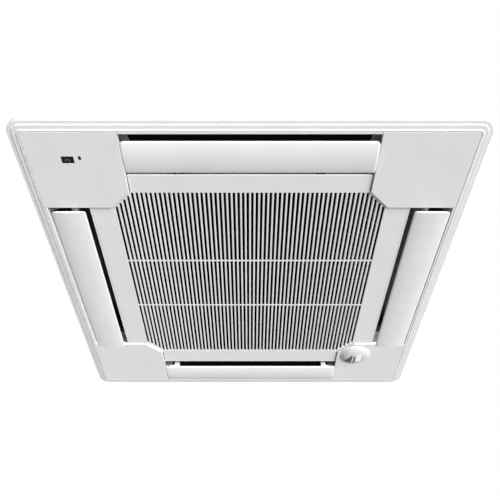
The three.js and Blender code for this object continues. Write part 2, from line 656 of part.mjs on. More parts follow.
/** The white frame: rim, deck, slots, grille pocket and the bearings that carry the vanes. */
function panelFrame() {
  const deckRadius = PANEL_CORNER_RADIUS - RIM_WIDTH + BITE;
  const deck = prism(roundedSquare(RIM_INNER + BITE, deckRadius), DECK_Z, DECK_TOP);
  const strip = block(-COVER_ARM + SEAM, COVER_ARM - SEAM, -COVER_REACH, -SLOT_OUTER, FACE_Z, DECK_Z + BITE);
  const slot = block(-WALL_ARM, WALL_ARM, -SLOT_OUTER, -SLOT_INNER, FACE_Z - OVERRUN, DECK_TOP + OVERRUN);
  const wallBottom = LIP_Z + POCKET_FOOT;
  const outerCross = crossOutline(WALL_ARM + PANEL_WALL, SLOT_INNER, WALL_SUM + PANEL_WALL * SQRT2);
  const innerCross = crossOutline(WALL_ARM, POCKET_REACH, WALL_SUM);
  const intakeHalf = SLATS_HALF + 2 * UPSTAND_WALL;
  const intakeSum = SLATS_SUM + GRILLE_CORNER_BORDER;
  const ceilingTop = POCKET_CEILING + PANEL_WALL;
  const skirtSides = [-SLOT_INNER - BITE, -POCKET_REACH + BITE];
  const skirtRoom = block(COVER_ARM - GAP, WALL_ARM, ...skirtSides, FACE_Z, DECK_Z);
  const walls = cut(
    prism(outerCross, wallBottom, UNIT_NECK_Z),
    prism(innerCross, wallBottom - OVERRUN, POCKET_CEILING),
    prism(innerCross, ceilingTop, UNIT_NECK_Z + OVERRUN),
    ...onFourSides(skirtRoom),
    ...onFourSides(mirroredX(skirtRoom)),
  );
  const sealOutline = cutSquare(intakeHalf + SEAL_LIP, intakeSum + SEAL_LIP * SQRT2);
  const sealLip = prism(sealOutline, ceilingTop - BITE, UNIT_NECK_Z);
  const intake = prism(cutSquare(intakeHalf, intakeSum), POCKET_CEILING - OVERRUN, UNIT_NECK_Z + OVERRUN);
  const pocket = prism(innerCross, FACE_Z - OVERRUN, POCKET_CEILING);
  const end = slotEnd(true);
  const otherEnd = mirroredX(slotEnd(false));
  const motorBay = block(
    WALL_ARM + PANEL_WALL + GAP,
    WALL_ARM + PANEL_WALL + GAP + VANE_MOTOR_LENGTH + MOTOR_ROOM,
    -PIVOT_R - VANE_MOTOR_RADIUS - MOTOR_ROOM,
    -PIVOT_R + VANE_MOTOR_RADIUS + MOTOR_ROOM,
    DECK_Z - OVERRUN,
    DECK_TOP + OVERRUN,
  );
  const bearingRoom = block(
    WALL_ARM - OVERRUN,
    WALL_ARM + PANEL_WALL + GAP,
    -PIVOT_R - PIVOT_NECK_RADIUS,
    -PIVOT_R + PIVOT_NECK_RADIUS,
    DECK_Z - OVERRUN,
    DECK_TOP + OVERRUN,
  );
  const bossRadius = SCREW_HOLE_RADIUS + SCREW_BOSS_WALL;
  const boss = post(SCREW_AT, SCREW_AT, bossRadius, DECK_TOP - BITE, UNIT_NECK_Z);
  const through = [DECK_Z - OVERRUN, UNIT_NECK_Z + OVERRUN];
  const screwHole = post(SCREW_AT, SCREW_AT, SCREW_HOLE_RADIUS, ...through, PIN_SIDES);
  const stemHoleRadius = SENSOR_STEM_RADIUS + SENSOR_STEM_ROOM;
  const stemHole = post(SENSOR_AT, SENSOR_AT, stemHoleRadius, DECK_Z - OVERRUN, DECK_TOP + OVERRUN);
  const bearingRooms = [bearingRoom, mirroredX(bearingRoom)].flatMap(onFourSides);
  let frame = cut(join(rim(), deck, ...onFourSides(strip)), ...onFourSides(slot), pocket);
  frame = join(frame, walls, sealLip);
  frame = cut(frame, intake, ...onFourSides(motorBay), ...bearingRooms);
  frame = join(frame, ...onFourSides(end), ...onFourSides(otherEnd), ...onFourSides(boss));
  frame = cut(frame, ...onFourSides(screwHole), stemHole);
  return join(frame, hingeHook(HINGE_AT), hingeHook(-HINGE_AT));
}

add("panel_frame", panelFrame(), whitePlastic);

const gasketOuter = PANEL_HALF - PANEL_WALL - GAP;
const gasketFloor = LIP_Z + PANEL_WALL + GAP;
const gasketProfile = [
  [gasketOuter, gasketFloor],
  [gasketOuter, 0],
  [gasketOuter - GASKET_WIDTH, 0],
  [gasketOuter - GASKET_WIDTH, gasketFloor],
];
add("ceiling_gasket", rimSweep(gasketProfile, PANEL_CORNER_RADIUS), blackFoam);

// ---------------------------------------------------------------- corner covers

/** A cover's outline, drawn in by a wall's thickness. */
function coverOutline(inset) {
  const near = COVER_ARM + inset;
  const far = COVER_REACH - inset;
  const sum = COVER_SUM + inset * SQRT2;
  const radius = COVER_CORNER_RADIUS - inset;
  const shape = new THREE.Shape();
  shape.moveTo(sum - near, near);
  shape.lineTo(far, near);
  shape.lineTo(far, far - radius);
  shape.absarc(far - radius, far - radius, radius, 0, Math.PI / 2);
  shape.lineTo(near, far);
  shape.lineTo(near, sum - near);
  shape.closePath();
  return shape;
}

/** A corner cover: face and skirt, notched where the vanes' bearings pass. */
function cornerCover() {
  const shell = cut(
    prism(coverOutline(0), FACE_Z, DECK_Z - GAP),
    prism(coverOutline(COVER_WALL), FACE_Z + PANEL_WALL, DECK_Z + OVERRUN),
  );
  const notch = PIVOT_NECK_RADIUS + 2 * GAP;
  const along = [PIVOT_R - notch, PIVOT_R + notch];
  const across = [COVER_ARM - OVERRUN, COVER_ARM + COVER_WALL + OVERRUN];
  const nearSide = block(...along, ...across, FACE_Z + PANEL_WALL, DECK_Z);
  const farSide = block(...across, ...along, FACE_Z + PANEL_WALL, DECK_Z);
  return cut(shell, nearSide, farSide);
}

/** The receiver window's hole or body, with its size changed by an amount all round. */
function windowBlock(grow, z0, z1) {
  const [x, y] = WINDOW_AT;
  const [width, depth] = WINDOW_SIZE.map((size) => size / 2 + grow);
  return block(x - width, x + width, y - depth, y + depth, z0, z1);
}

const coverBack = FACE_Z + PANEL_WALL;
CORNERS.forEach((corner, turns) => {
  const through = [FACE_Z - OVERRUN, coverBack + OVERRUN];
  let cover = cornerCover();
  if (corner === "front_left") {
    const lampHole = post(...LAMP_AT, LAMP_RADIUS + GAP, ...through, PIN_SIDES);
    cover = cut(cover, windowBlock(GAP, ...through), lampHole);
  }
  if (corner === "back_right") {
    cover = cut(cover, post(SENSOR_AT, SENSOR_AT, SENSOR_SLEEVE_RADIUS, ...through, SENSOR_SIDES));
  }
  add("corner_cover_" + corner, cover, whitePlastic, turnedGroup(turns));
});

const receiverGroup = turnedGroup(2);
const windowBody = windowBlock(0, FACE_Z, coverBack + GAP + BITE);
const flangeTop = coverBack + GAP + WINDOW_FLANGE_THICKNESS;
const windowBack = windowBlock(WINDOW_FLANGE, coverBack + GAP, flangeTop);
add("receiver_window", join(windowBody, windowBack), darkWindow, receiverGroup);
const lampTop = coverBack + LAMP_DEPTH;
const lampBody = post(...LAMP_AT, LAMP_RADIUS, FACE_Z, lampTop, PIN_SIDES);
const lampBack = post(...LAMP_AT, LAMP_RADIUS + LAMP_FLANGE, coverBack + GAP, lampTop, PIN_SIDES);
add("status_lamp", join(lampBody, lampBack), lampPlastic, receiverGroup);

// ---------------------------------------------------------------- vanes and their motors

/** The vane's curved section in (r, z): an arc bulging down, with a steady thickness. */
function vaneSection() {
  const points = [];
  const dr = VANE_OUTER.x - VANE_INNER.x;
  const dz = VANE_OUTER.y - VANE_INNER.y;
  const place = (share, lift) => [
    VANE_INNER.x + dr * share,
    VANE_INNER.y + dz * share - VANE_BULGE * 4 * share * (1 - share) + lift,
  ];
  for (let i = 0; i <= VANE_STEPS; i++) points.push(place(i / VANE_STEPS, 0));
  for (let i = VANE_STEPS; i >= 0; i--) points.push(place(i / VANE_STEPS, VANE_THICKNESS));
  return outline(points);
}

/** The section of an arm that joins a vane to its pivot. */
function armSection() {
  const left = VANE_INNER.x + ARM_HEEL;
  const foot = VANE_INNER.y;
  const right = PIVOT_R + ARM_REACH;
  const top = PIVOT_Z + ARM_RISE;
  return outline([
    [left, foot],
    [right, foot - ARM_SINK],
    [right - ARM_TAPER, PIVOT_Z + PIVOT_PIN_RADIUS],
    [PIVOT_R + PIVOT_PIN_RADIUS, top],
    [PIVOT_R - ARM_REACH, top],
    [left + ARM_SINK, PIVOT_Z - PIVOT_PIN_RADIUS],
  ]);
}

/** A vane with its two arms and pivot pins; the pin at +t reaches into the motor. */
function vane() {
  const blade = alongSlot(vaneSection(), -VANE_HALF, VANE_HALF);
  const armOut = VANE_HALF - ARM_INSET;
  const arms = [1, -1].map((side) => {
    const ends = [side * armOut, side * (armOut - ARM_THICKNESS)].sort((a, b) => a - b);
    return alongSlot(armSection(), ...ends);
  });
  const motorEnd = WALL_ARM + PANEL_WALL + GAP + SHAFT_ENGAGEMENT - SHAFT_PLAY;
  const drivenPin = rod(-PIVOT_R, PIVOT_Z, PIVOT_PIN_RADIUS, armOut - BITE, motorEnd);
  const plainPin = rod(-PIVOT_R, PIVOT_Z, PIVOT_PIN_RADIUS, -WALL_ARM, -armOut + BITE);
  return join(blade, ...arms, drivenPin, plainPin);
}

/** The stepper motor beside a slot's end, its body set above the shaft. */
function vaneMotor() {
  const t0 = WALL_ARM + PANEL_WALL + GAP;
  const bodyZ = PIVOT_Z + VANE_MOTOR_OFFSET;
  const body = rod(-PIVOT_R, bodyZ, VANE_MOTOR_RADIUS, t0, t0 + VANE_MOTOR_LENGTH, 24);
  const ears = block(
    t0,
    t0 + MOTOR_EAR_THICKNESS,
    -PIVOT_R - MOTOR_EAR_REACH,
    -PIVOT_R + MOTOR_EAR_REACH,
    bodyZ - MOTOR_EAR_HEIGHT / 2,
    bodyZ + MOTOR_EAR_HEIGHT / 2,
  );
  const socket = rod(-PIVOT_R, PIVOT_Z, PIVOT_PIN_RADIUS + PIVOT_FIT, t0 - OVERRUN, t0 + SHAFT_ENGAGEMENT);
  return cut(join(body, ears), socket);
}

SIDES.forEach((side, turns) => {
  const group = turnedGroup(turns);
  add("vane_" + side, vane(), vanePlastic, group);
  add("vane_motor_" + side, vaneMotor(), zincSteel, group);
  const liner = alongSlot(ductWallSection(), -DUCT_MOUTH_HALF + GAP, DUCT_MOUTH_HALF - GAP);
  add("outlet_liner_" + side, liner, blackFoam, group);
});

// ---------------------------------------------------------------- intake grille, filter and catches

/** The openings between the slats: columns along Y, parted by the two cross bars. */
function slatOpenings() {
  const columns = Math.round((2 * SLATS_HALF) / SLAT_PITCH);
  const openings = [];
  for (let i = 0; i < columns; i++) {
    const x = (i - (columns - 1) / 2) * SLAT_PITCH;
    const edge = Math.abs(x) + SLAT_GAP / 2;
    const reach = Math.min(SLATS_HALF, SLATS_SUM - edge) - SLAT_END;
    const barNear = CROSS_BAR_AT - CROSS_BAR_WIDTH / 2;
    const barFar = CROSS_BAR_AT + CROSS_BAR_WIDTH / 2;
    const sides = [x - SLAT_GAP / 2, x + SLAT_GAP / 2];
    for (const ends of [[-reach, -barFar], [-barNear, barNear], [barFar, reach]]) {
      openings.push(block(...sides, ...ends, LIP_Z - OVERRUN, LIP_Z + SLAT_DEPTH + OVERRUN));
    }
  }
  return openings;
}

/** The slatted middle of the grille. */
function slattedField() {
  const field = cutSquare(SLATS_HALF + UPSTAND_WALL, SLATS_SUM + GRILLE_CORNER_BORDER - GAP);
  return cut(prism(field, LIP_Z, LIP_Z + SLAT_DEPTH), ...slatOpenings());
}

/** Two ears and the pin between them, on the grille's back. */
function hingeEars(x) {
  const inner = HOOK_WIDTH / 2 + HINGE_PLAY;
  const earBottom = LIP_Z + GRILLE_PLATE - BITE;
  const earSides = [HINGE_Y - HINGE_EAR_HALF, HINGE_Y + HINGE_EAR_HALF];
  const ears = [1, -1].map((side) => {
    const ends = [x + side * inner, x + side * (inner + HINGE_EAR)].sort((a, b) => a - b);
    return block(...ends, ...earSides, earBottom, HINGE_Z + HINGE_EAR_TOP);
  });
  const pin = rod(HINGE_Y, HINGE_Z, HINGE_PIN_RADIUS, x - inner - BITE, x + inner + BITE);
  return join(...ears, pin);
}

/** The whole grille: border, slats, upstand for the filter, hinge ears and strikers. */
function intakeGrille() {
  const borderTop = LIP_Z + GRILLE_PLATE;
  const insideSum = SLATS_SUM + GRILLE_CORNER_BORDER - 2 * OVERRUN;
  const inside = cutSquare(SLATS_HALF + UPSTAND_WALL - OVERRUN, insideSum);
  const border = cut(
    prism(crossOutline(GRILLE_ARM, GRILLE_REACH, GRILLE_SUM), LIP_Z, borderTop),
    prism(inside, LIP_Z - OVERRUN, borderTop + OVERRUN),
  );
  const upstandTop = LIP_Z + UPSTAND_HEIGHT;
  const upstandInside = cutSquare(SLATS_HALF + UPSTAND_IN, GRILLE_SUM - UPSTAND_IN * SQRT2);
  const upstand = cut(
    prism(cutSquare(SLATS_HALF + UPSTAND_IN + UPSTAND_WALL, GRILLE_SUM), borderTop - BITE, upstandTop),
    prism(upstandInside, borderTop - OVERRUN, upstandTop + OVERRUN),
  );
  const farEdge = block(
    -GRILLE_ARM - OVERRUN,
    GRILLE_ARM + OVERRUN,
    GRILLE_REACH - GRILLE_EDGE_CHAMFER,
    GRILLE_REACH + OVERRUN,
    LIP_Z - OVERRUN,
    LIP_Z + GRILLE_EDGE_CHAMFER,
  );
  const strikerSides = [CATCH_Y - STRIKER_HALF, CATCH_Y + STRIKER_HALF];
  const strikers = [1, -1].map((side) => {
    const ends = [side * CATCH_AT - STRIKER_HALF, side * CATCH_AT + STRIKER_HALF];
    return block(...ends, ...strikerSides, borderTop - BITE, borderTop + STRIKER_HEIGHT);
  });
  const swing = HINGE_PIN_RADIUS + GAP + HOOK_WALL + GAP;
  const hookRooms = [1, -1].map((side) => {
    const half = HOOK_WIDTH / 2 + HINGE_PLAY;
    return rod(HINGE_Y, HINGE_Z, swing, side * HINGE_AT - half, side * HINGE_AT + half);
  });
  const plate = cut(join(border, slattedField(), upstand), farEdge, ...hookRooms);
  return join(plate, ...strikers, hingeEars(HINGE_AT), hingeEars(-HINGE_AT));
}

add("intake_grille", intakeGrille(), whitePlastic);

const filterZ = LIP_Z + SLAT_DEPTH + GAP;
const filterHalf = SLATS_HALF + UPSTAND_IN - GAP * 2;
const filterSum = GRILLE_SUM - UPSTAND_IN * SQRT2 - GAP * 3;

/** The filter's frame: a plate with its windows cut out, so that crossed ribs stay between them. */
function filterFrame() {
  const inner = filterHalf - FILTER_RIM;
  const bay = (2 * inner) / FILTER_BAYS;
  const low = filterZ - OVERRUN;
  const high = filterZ + FILTER_THICKNESS + OVERRUN;
  const inside = prism(cutSquare(inner, filterSum - FILTER_RIM * SQRT2), low, high);
  const edges = Array.from({ length: FILTER_BAYS }, (_, i) => {
    const start = i === 0 ? -inner - OVERRUN : -inner + i * bay + FILTER_RIB / 2;
    const stop = i === FILTER_BAYS - 1 ? inner + OVERRUN : -inner + (i + 1) * bay - FILTER_RIB / 2;
    return [start, stop];
  });
  const windows = edges.flatMap((x) => edges.map((y) => block(...x, ...y, low - OVERRUN, high + OVERRUN)));
  const plate = prism(cutSquare(filterHalf, filterSum), filterZ, filterZ + FILTER_THICKNESS);
  return cut(plate, ...windows.map((window) => window.intersect(inside)));
}

add("filter_frame", filterFrame(), greyPlastic);
const netZ = filterZ + FILTER_THICKNESS + GAP;
const netOutline = cutSquare(filterHalf - FILTER_RIM / 3, filterSum - (FILTER_RIM / 3) * SQRT2);
add("filter_net", prism(netOutline, netZ, netZ + NET_THICKNESS), meshNet);

[["left", -1], ["right", 1]].forEach(([name, side]) => {
  const x = side * CATCH_AT;
  const housingTop = POCKET_CEILING - GAP;
  const strikerTop = LIP_Z + GRILLE_PLATE + STRIKER_HEIGHT;
  const across = [x - CATCH_LENGTH / 2, x + CATCH_LENGTH / 2];
  const along = [CATCH_Y - CATCH_WIDTH / 2, CATCH_Y + CATCH_WIDTH / 2];
  const body = block(...across, ...along, strikerTop + CATCH_STANDOFF, housingTop);
  const boreTop = housingTop - CATCH_ROOF;
  const bore = post(x, CATCH_Y, PLUNGER_RADIUS + GAP, strikerTop, boreTop, PIN_SIDES);
  const plungerTop = boreTop - PLUNGER_TRAVEL - GAP;
  const plunger = post(x, CATCH_Y, PLUNGER_RADIUS, strikerTop + GAP, plungerTop, PIN_SIDES);
  add("catch_housing_" + name, cut(body, bore), greyPlastic);
  add("catch_plunger_" + name, plunger, whitePlastic);
});

// ---------------------------------------------------------------- rotating sensor

const ringZ = FACE_Z - GAP;
const ringFace = ringZ - SENSOR_RING_HEIGHT;
const sleeveOuter = SENSOR_SLEEVE_RADIUS - GAP;
const sleeveInner = sleeveOuter - SENSOR_SLEEVE_WALL;
const ringProfile = [
  [SENSOR_RING_BORE, ringFace],
  [SENSOR_RING_RADIUS - SENSOR_RING_BEVEL, ringFace],
  [SENSOR_RING_RADIUS, ringFace + SENSOR_RING_BEVEL],
  [SENSOR_RING_RADIUS, ringZ],
  [sleeveOuter, ringZ],
  [sleeveOuter, DECK_Z - GAP],
  [sleeveInner, DECK_Z - GAP],
  [sleeveInner, ringZ],
  [SENSOR_RING_BORE, ringZ],
  [SENSOR_RING_BORE, ringFace],
];
add("sensor_ring", turned(ringProfile, 28, SENSOR_AT, SENSOR_AT), whitePlastic);

/** The turning sensor head: a low dome with a notch where it looks out, and its stem. */
function sensorHead() {
  const z0 = ringFace - GAP;
  const neckTop = DECK_Z - SENSOR_NECK_ROOM;
  const stemTop = DECK_TOP + SHAFT_ENGAGEMENT;
  const rise = Array.from({ length: DOME_STEPS }, (_, step) => {
    const angle = ((step / DOME_STEPS) * Math.PI) / 2;
    return [SENSOR_HEAD_RADIUS * Math.sin(angle), z0 - SENSOR_HEAD_HEIGHT * Math.cos(angle)];
  });
  const profile = [
    ...rise,
    [SENSOR_HEAD_RADIUS, z0],
    [SENSOR_NECK_RADIUS, z0],
    [SENSOR_NECK_RADIUS, neckTop],
    [SENSOR_STEM_RADIUS, neckTop],
    [SENSOR_STEM_RADIUS, stemTop],
    [0, stemTop],
  ];
  const head = turned(profile, SENSOR_SIDES, SENSOR_AT, SENSOR_AT);
  const notch = outline(SENSOR_NOTCH.map(([x, y]) => [SENSOR_AT + x, SENSOR_AT + y]));
  const apex = z0 - SENSOR_HEAD_HEIGHT;
  return cut(head, prism(notch, apex - OVERRUN, apex + SENSOR_NOTCH_DEPTH));
}

add("sensor_head", sensorHead(), vanePlastic);
const sensorMotorZ = DECK_TOP + GAP;
const stemSocket = [sensorMotorZ - OVERRUN, DECK_TOP + SHAFT_ENGAGEMENT + SHAFT_PLAY];
const sensorMotor = cut(
  post(SENSOR_AT, SENSOR_AT, SENSOR_MOTOR_RADIUS, sensorMotorZ, sensorMotorZ + SENSOR_MOTOR_HEIGHT),
  post(SENSOR_AT, SENSOR_AT, SENSOR_STEM_RADIUS + GAP, ...stemSocket, PIN_SIDES),
);
add("sensor_motor", sensorMotor, zincSteel);

// ---------------------------------------------------------------- unit: pan, shell, liner, top

/** The drain pan: outlets, the trough that the coil stands in, and the middle opening. */
function drainPan() {
  const slab = prism(cutSquare(PAN_HALF, UNIT_SUM - (SHEET + GAP) * SQRT2), UNIT_BOTTOM, PAN_TOP);
  const through = [UNIT_BOTTOM - OVERRUN, PAN_TOP + OVERRUN];
  const opening = prism(roundedSquare(PAN_OPENING, OPENING_RADIUS), ...through);
  const outlet = block(-DUCT_MOUTH_HALF, DUCT_MOUTH_HALF, -OUTLET_OUTER, -OUTLET_INNER, ...through);
  const island = roundedSquare(TROUGH_INNER, OPENING_RADIUS + PAN_INNER_WALL);
  const trough = cut(
    block(-TROUGH_OUTER, TROUGH_OUTER, -TROUGH_OUTER, TROUGH_OUTER, TROUGH_Z, PAN_TOP + OVERRUN),
    prism(island, TROUGH_Z - OVERRUN, PAN_TOP + 2 * OVERRUN),
  );
  const socketEnds = [UNIT_BOTTOM - OVERRUN, DECK_Z + SCREW_LENGTH + SCREW_END_ROOM];
  const screwSocket = post(SCREW_AT, SCREW_AT, SCREW_HOLE_RADIUS, ...socketEnds, PIN_SIDES);
  return cut(slab, opening, trough, ...onFourSides(outlet), ...onFourSides(screwSocket));
}

add("drain_pan", drainPan(), blackFoam);

const coilEndAt = COIL_OUTER - COIL_GAP; // where the coil's two ends stop beside the open corner
const gasHeaderX = -(coilEndAt + HEADER_STANDOFF);
const liquidHeaderY = coilEndAt + HEADER_STANDOFF;
const gasPipeY = liquidHeaderY + PIPE_SPACING;
const drainY = coilEndAt - DRAIN_IN;
const coilMiddle = (COIL_OUTER + COIL_INNER) / 2;

/** The holes for the two pipes and the drain through the unit's left wall, with room round them. */
function pipeHoles(room) {
  const along = [-UNIT_HALF - OVERRUN, -PAN_HALF + LINER_THICKNESS + OVERRUN];
  return [
    rod(gasPipeY, GAS_PIPE_HEIGHT, GAS_PIPE_RADIUS + room, ...along),
    rod(liquidHeaderY, LIQUID_PIPE_HEIGHT, LIQUID_PIPE_RADIUS + room, ...along),
    rod(drainY, DRAIN_HEIGHT, DRAIN_SOCKET_RADIUS + room, ...along, SOCKET_SIDES),
  ];
}

const shellTop = UNIT_TOP - SHEET - GAP;
const shell = cut(
  prism(cutSquare(UNIT_HALF, UNIT_SUM), UNIT_BOTTOM, shellTop),
  prism(cutSquare(UNIT_HALF - SHEET, UNIT_SUM - SHEET * SQRT2), UNIT_BOTTOM - OVERRUN, shellTop + OVERRUN),
  ...pipeHoles(GAP),
);
add("cabinet_shell", shell, zincSteel);
add("top_plate", prism(cutSquare(UNIT_HALF, UNIT_SUM), UNIT_TOP - SHEET, UNIT_TOP), zincSteel);

const linerSum = UNIT_SUM - (SHEET + GAP) * SQRT2;
const liner = cut(
  prism(cutSquare(PAN_HALF, linerSum), PAN_TOP + GAP, shellTop - GAP),
  prism(
    cutSquare(PAN_HALF - LINER_THICKNESS, linerSum - LINER_THICKNESS * SQRT2),
    PAN_TOP - OVERRUN,
    shellTop + OVERRUN,
  ),
  ...pipeHoles(GAP),
);
add("cabinet_liner", liner, whiteFoam);

// ---------------------------------------------------------------- heat exchanger and pipes

const coilBottom = TROUGH_Z + GAP;
const coilTop = coilBottom + COIL_HEIGHT;
const coilThrough = [coilBottom - OVERRUN, coilTop + OVERRUN];
const coilOutside = COIL_OUTER + OVERRUN;
const coil = cut(
  prism(roundedSquare(COIL_OUTER, COIL_CORNER_RADIUS), coilBottom, coilTop),
  prism(roundedSquare(COIL_INNER, COIL_CORNER_RADIUS - COIL_THICKNESS), ...coilThrough),
  block(-coilOutside, -coilEndAt, coilEndAt, coilOutside, ...coilThrough),
);
add("heat_exchanger", coil, finAluminium);

const pipeEndX = -UNIT_HALF - PIPE_OUT;
const headerBottom = coilBottom + HEADER_FOOT;
const headerTop = coilTop - HEADER_HEAD;

/** Heights of the stubs that run from a header into the coil's end. */
const stubPitch = (headerTop - headerBottom - 2 * STUB_INSET) / (HEADER_STUBS - 1);
const stubHeights = Array.from({ length: HEADER_STUBS }, (_, i) => headerBottom + STUB_INSET + i * stubPitch);

const stubEnd = -coilEndAt - GAP;
const gasStubs = stubHeights.map((z) =>
  rod(coilMiddle, z, GAS_HEADER_RADIUS / 2, gasHeaderX, stubEnd, BEARING_SIDES),
);
const gasRun = pipe(
  [
    [gasHeaderX, coilMiddle, GAS_PIPE_HEIGHT],
    [gasHeaderX - PIPE_BEND, coilMiddle, GAS_PIPE_HEIGHT],
    [-UNIT_HALF + 2 * PIPE_BEND, gasPipeY, GAS_PIPE_HEIGHT],
    [-UNIT_HALF + PIPE_BEND, gasPipeY, GAS_PIPE_HEIGHT],
    [-UNIT_HALF, gasPipeY, GAS_PIPE_HEIGHT],
    [pipeEndX, gasPipeY, GAS_PIPE_HEIGHT],
  ],
  GAS_PIPE_RADIUS - GAP,
  PIPE_STEPS,
);
const gasHeader = post(gasHeaderX, coilMiddle, GAS_HEADER_RADIUS, headerBottom, headerTop, PIN_SIDES);
add("gas_pipe", join(gasHeader, gasRun, ...gasStubs), copper);

/** A stub along Y from the liquid header into the coil's other end. */
function liquidStub(z) {
  const length = HEADER_STANDOFF - GAP;
  const radius = LIQUID_HEADER_RADIUS / 2;
  const geometry = new THREE.CylinderGeometry(radius, radius, length, BEARING_SIDES);
  return solid(geometry.translate(-coilMiddle, liquidHeaderY - length / 2, z));
}

const headerEnds = [headerBottom, headerTop];
const liquidHeader = post(-coilMiddle, liquidHeaderY, LIQUID_HEADER_RADIUS, ...headerEnds, PIN_SIDES);
const liquidTube = LIQUID_PIPE_RADIUS - GAP;
const liquidRun = rod(liquidHeaderY, LIQUID_PIPE_HEIGHT, liquidTube, pipeEndX, -coilMiddle, BEARING_SIDES);
add("liquid_pipe", join(liquidHeader, liquidRun, ...stubHeights.map(liquidStub)), copper);

/** A hexagonal flare nut round a pipe's end. */
function flareNut(y, z, pipeRadius) {
  const start = pipeEndX + NUT_SETBACK;
  const nut = rod(y, z, pipeRadius + NUT_WALL, start, start + NUT_LENGTH, 6);
  const bore = rod(y, z, pipeRadius, start - OVERRUN, start + NUT_LENGTH + OVERRUN);
  return cut(nut, bore);
}

add("gas_flare_nut", flareNut(gasPipeY, GAS_PIPE_HEIGHT, GAS_PIPE_RADIUS), brass);
add("liquid_flare_nut", flareNut(liquidHeaderY, LIQUID_PIPE_HEIGHT, LIQUID_PIPE_RADIUS), brass);

// ---------------------------------------------------------------- bell mouth, fan and motor

/** Points of the bell mouth's curve, a quarter of an ellipse from the plate up into the throat. */
function bellCurve(steps) {
  const run = BELL_MOUTH_RADIUS - BELL_THROAT_RADIUS;
  return Array.from({ length: steps + 1 }, (_, i) => {
    const angle = ((i / steps) * Math.PI) / 2;
    return [BELL_MOUTH_RADIUS - run * Math.sin(angle), BELL_Z + BELL_HEIGHT * (1 - Math.cos(angle))];
  });
}

const throatCurve = bellCurve(BELL_STEPS);
const throatOutside = throatCurve.map(([r, z]) => [r + BELL_PLATE, z]);
const bellProfile = [...throatOutside, ...[...throatCurve].reverse(), throatOutside[0]];
const bellTop = BELL_Z + BELL_HEIGHT;
const plateTop = BELL_Z + BELL_PLATE;
const bellPlate = cut(
  prism(roundedSquare(PAN_OPENING - GAP, OPENING_RADIUS), BELL_Z, plateTop),
  post(0, 0, BELL_MOUTH_RADIUS + BELL_PLATE / 2, BELL_Z - OVERRUN, plateTop + OVERRUN, BELL_SIDES),
);
const ringOuter = BELL_MOUTH_RADIUS + BELL_PLATE * 2;
const ringSection = [
  [BELL_MOUTH_RADIUS, BELL_Z],
  [ringOuter, BELL_Z],
  [ringOuter, plateTop],
  [BELL_MOUTH_RADIUS, plateTop],
  [BELL_MOUTH_RADIUS, BELL_Z],
];
const bellRing = turned(ringSection, BELL_SIDES);
add("bell_mouth", join(bellPlate, bellRing, turned(bellProfile, BELL_SIDES)), whitePlastic);

/** A backward-curved blade as an outline, thick in the middle and thin at both ends. */
function bladeOutline() {
  const length = FAN_RADIUS - BLADE_INSET - BLADE_START_RADIUS;
  const middle = Array.from({ length: BLADE_STEPS + 1 }, (_, i) => {
    const share = i / BLADE_STEPS;
    const bulge = (1 + 3 * Math.sin(Math.PI * share)) / 4;
    return {
      r: BLADE_START_RADIUS + length * share,
      angle: -BLADE_LEAN * share,
      half: (BLADE_THICKNESS / 2) * bulge,
    };
  });
  const side = (sign) => middle.map(({ r, angle, half }) => {
    const turn = angle + (sign * half) / r;
    return [r * Math.cos(turn), r * Math.sin(turn)];
  });
  return outline([...side(-1), ...side(1).reverse()]);
}

/** The fan's hub: a sleeve on the shaft, a cone round the motor and the back plate. */
function fanHub() {
  const cone = MOTOR_RADIUS + MOTOR_CLEARANCE;
  const backZ = FAN_TOP - FAN_WALL;
  const sleeve = SHAFT_RADIUS + GAP;
  const sleeveTop = HUB_BOTTOM + HUB_HEIGHT;
  const profile = [
    [sleeve, HUB_BOTTOM],
    [HUB_RADIUS, HUB_BOTTOM],
    [HUB_RADIUS + HUB_FLARE, HUB_BOTTOM + HUB_FLARE],
    [cone + CONE_WALL, backZ - CONE_ROUND - CONE_WALL],
    [cone + CONE_WALL + HUB_FLARE, backZ],
    [FAN_RADIUS, backZ],
    [FAN_RADIUS, FAN_TOP],
    [cone + HUB_FLARE, FAN_TOP],
    [cone, backZ - CONE_ROUND],
    [HUB_RADIUS + CONE_WALL, HUB_BOTTOM + HUB_FLARE + CONE_WALL],
    [HUB_RADIUS - HUB_FLARE, sleeveTop],
    [sleeve, sleeveTop],
    [sleeve, HUB_BOTTOM],
  ];
  return turned(profile, FAN_SIDES);
}

/** The inlet shroud's underside from its inner edge out to the rim, as [r, z] points raised by a lift. */
function shroudUnderside(lift) {
  return [
    [FAN_INLET + SHROUD_LIP, FAN_BOTTOM + lift],
    [FAN_INLET + SHROUD_FLARE, FAN_BOTTOM + SHROUD_FLARE + lift],
    [FAN_RADIUS, FAN_BOTTOM + SHROUD_RISE + lift],
  ];
}

/** The fan's inlet shroud. */
function fanShroud() {
  const profile = [
    [FAN_INLET, FAN_BOTTOM],
    ...shroudUnderside(0),
    [FAN_RADIUS, FAN_BOTTOM + SHROUD_RISE + FAN_WALL],
    [FAN_INLET + SHROUD_FLARE - FAN_WALL / 2, FAN_BOTTOM + SHROUD_FLARE + FAN_WALL],
    [FAN_INLET, FAN_BOTTOM + 2 * FAN_WALL],
    [FAN_INLET, FAN_BOTTOM],
  ];
  return turned(profile, FAN_SIDES);
}

/** What a blade must not reach: everything just under the shroud. */
function underShroud() {
  const inner = FAN_INLET + SHROUD_LIP;
  const outer = FAN_RADIUS + 2 * OVERRUN;
  const floor = FAN_BOTTOM - 2 * OVERRUN;
  const profile = [
    [inner, floor],
    [outer, floor],
    [outer, FAN_BOTTOM + SHROUD_RISE + BITE],
    ...shroudUnderside(BITE).reverse(),
    [inner, floor],
  ];
  return turned(profile, FAN_SIDES);
}

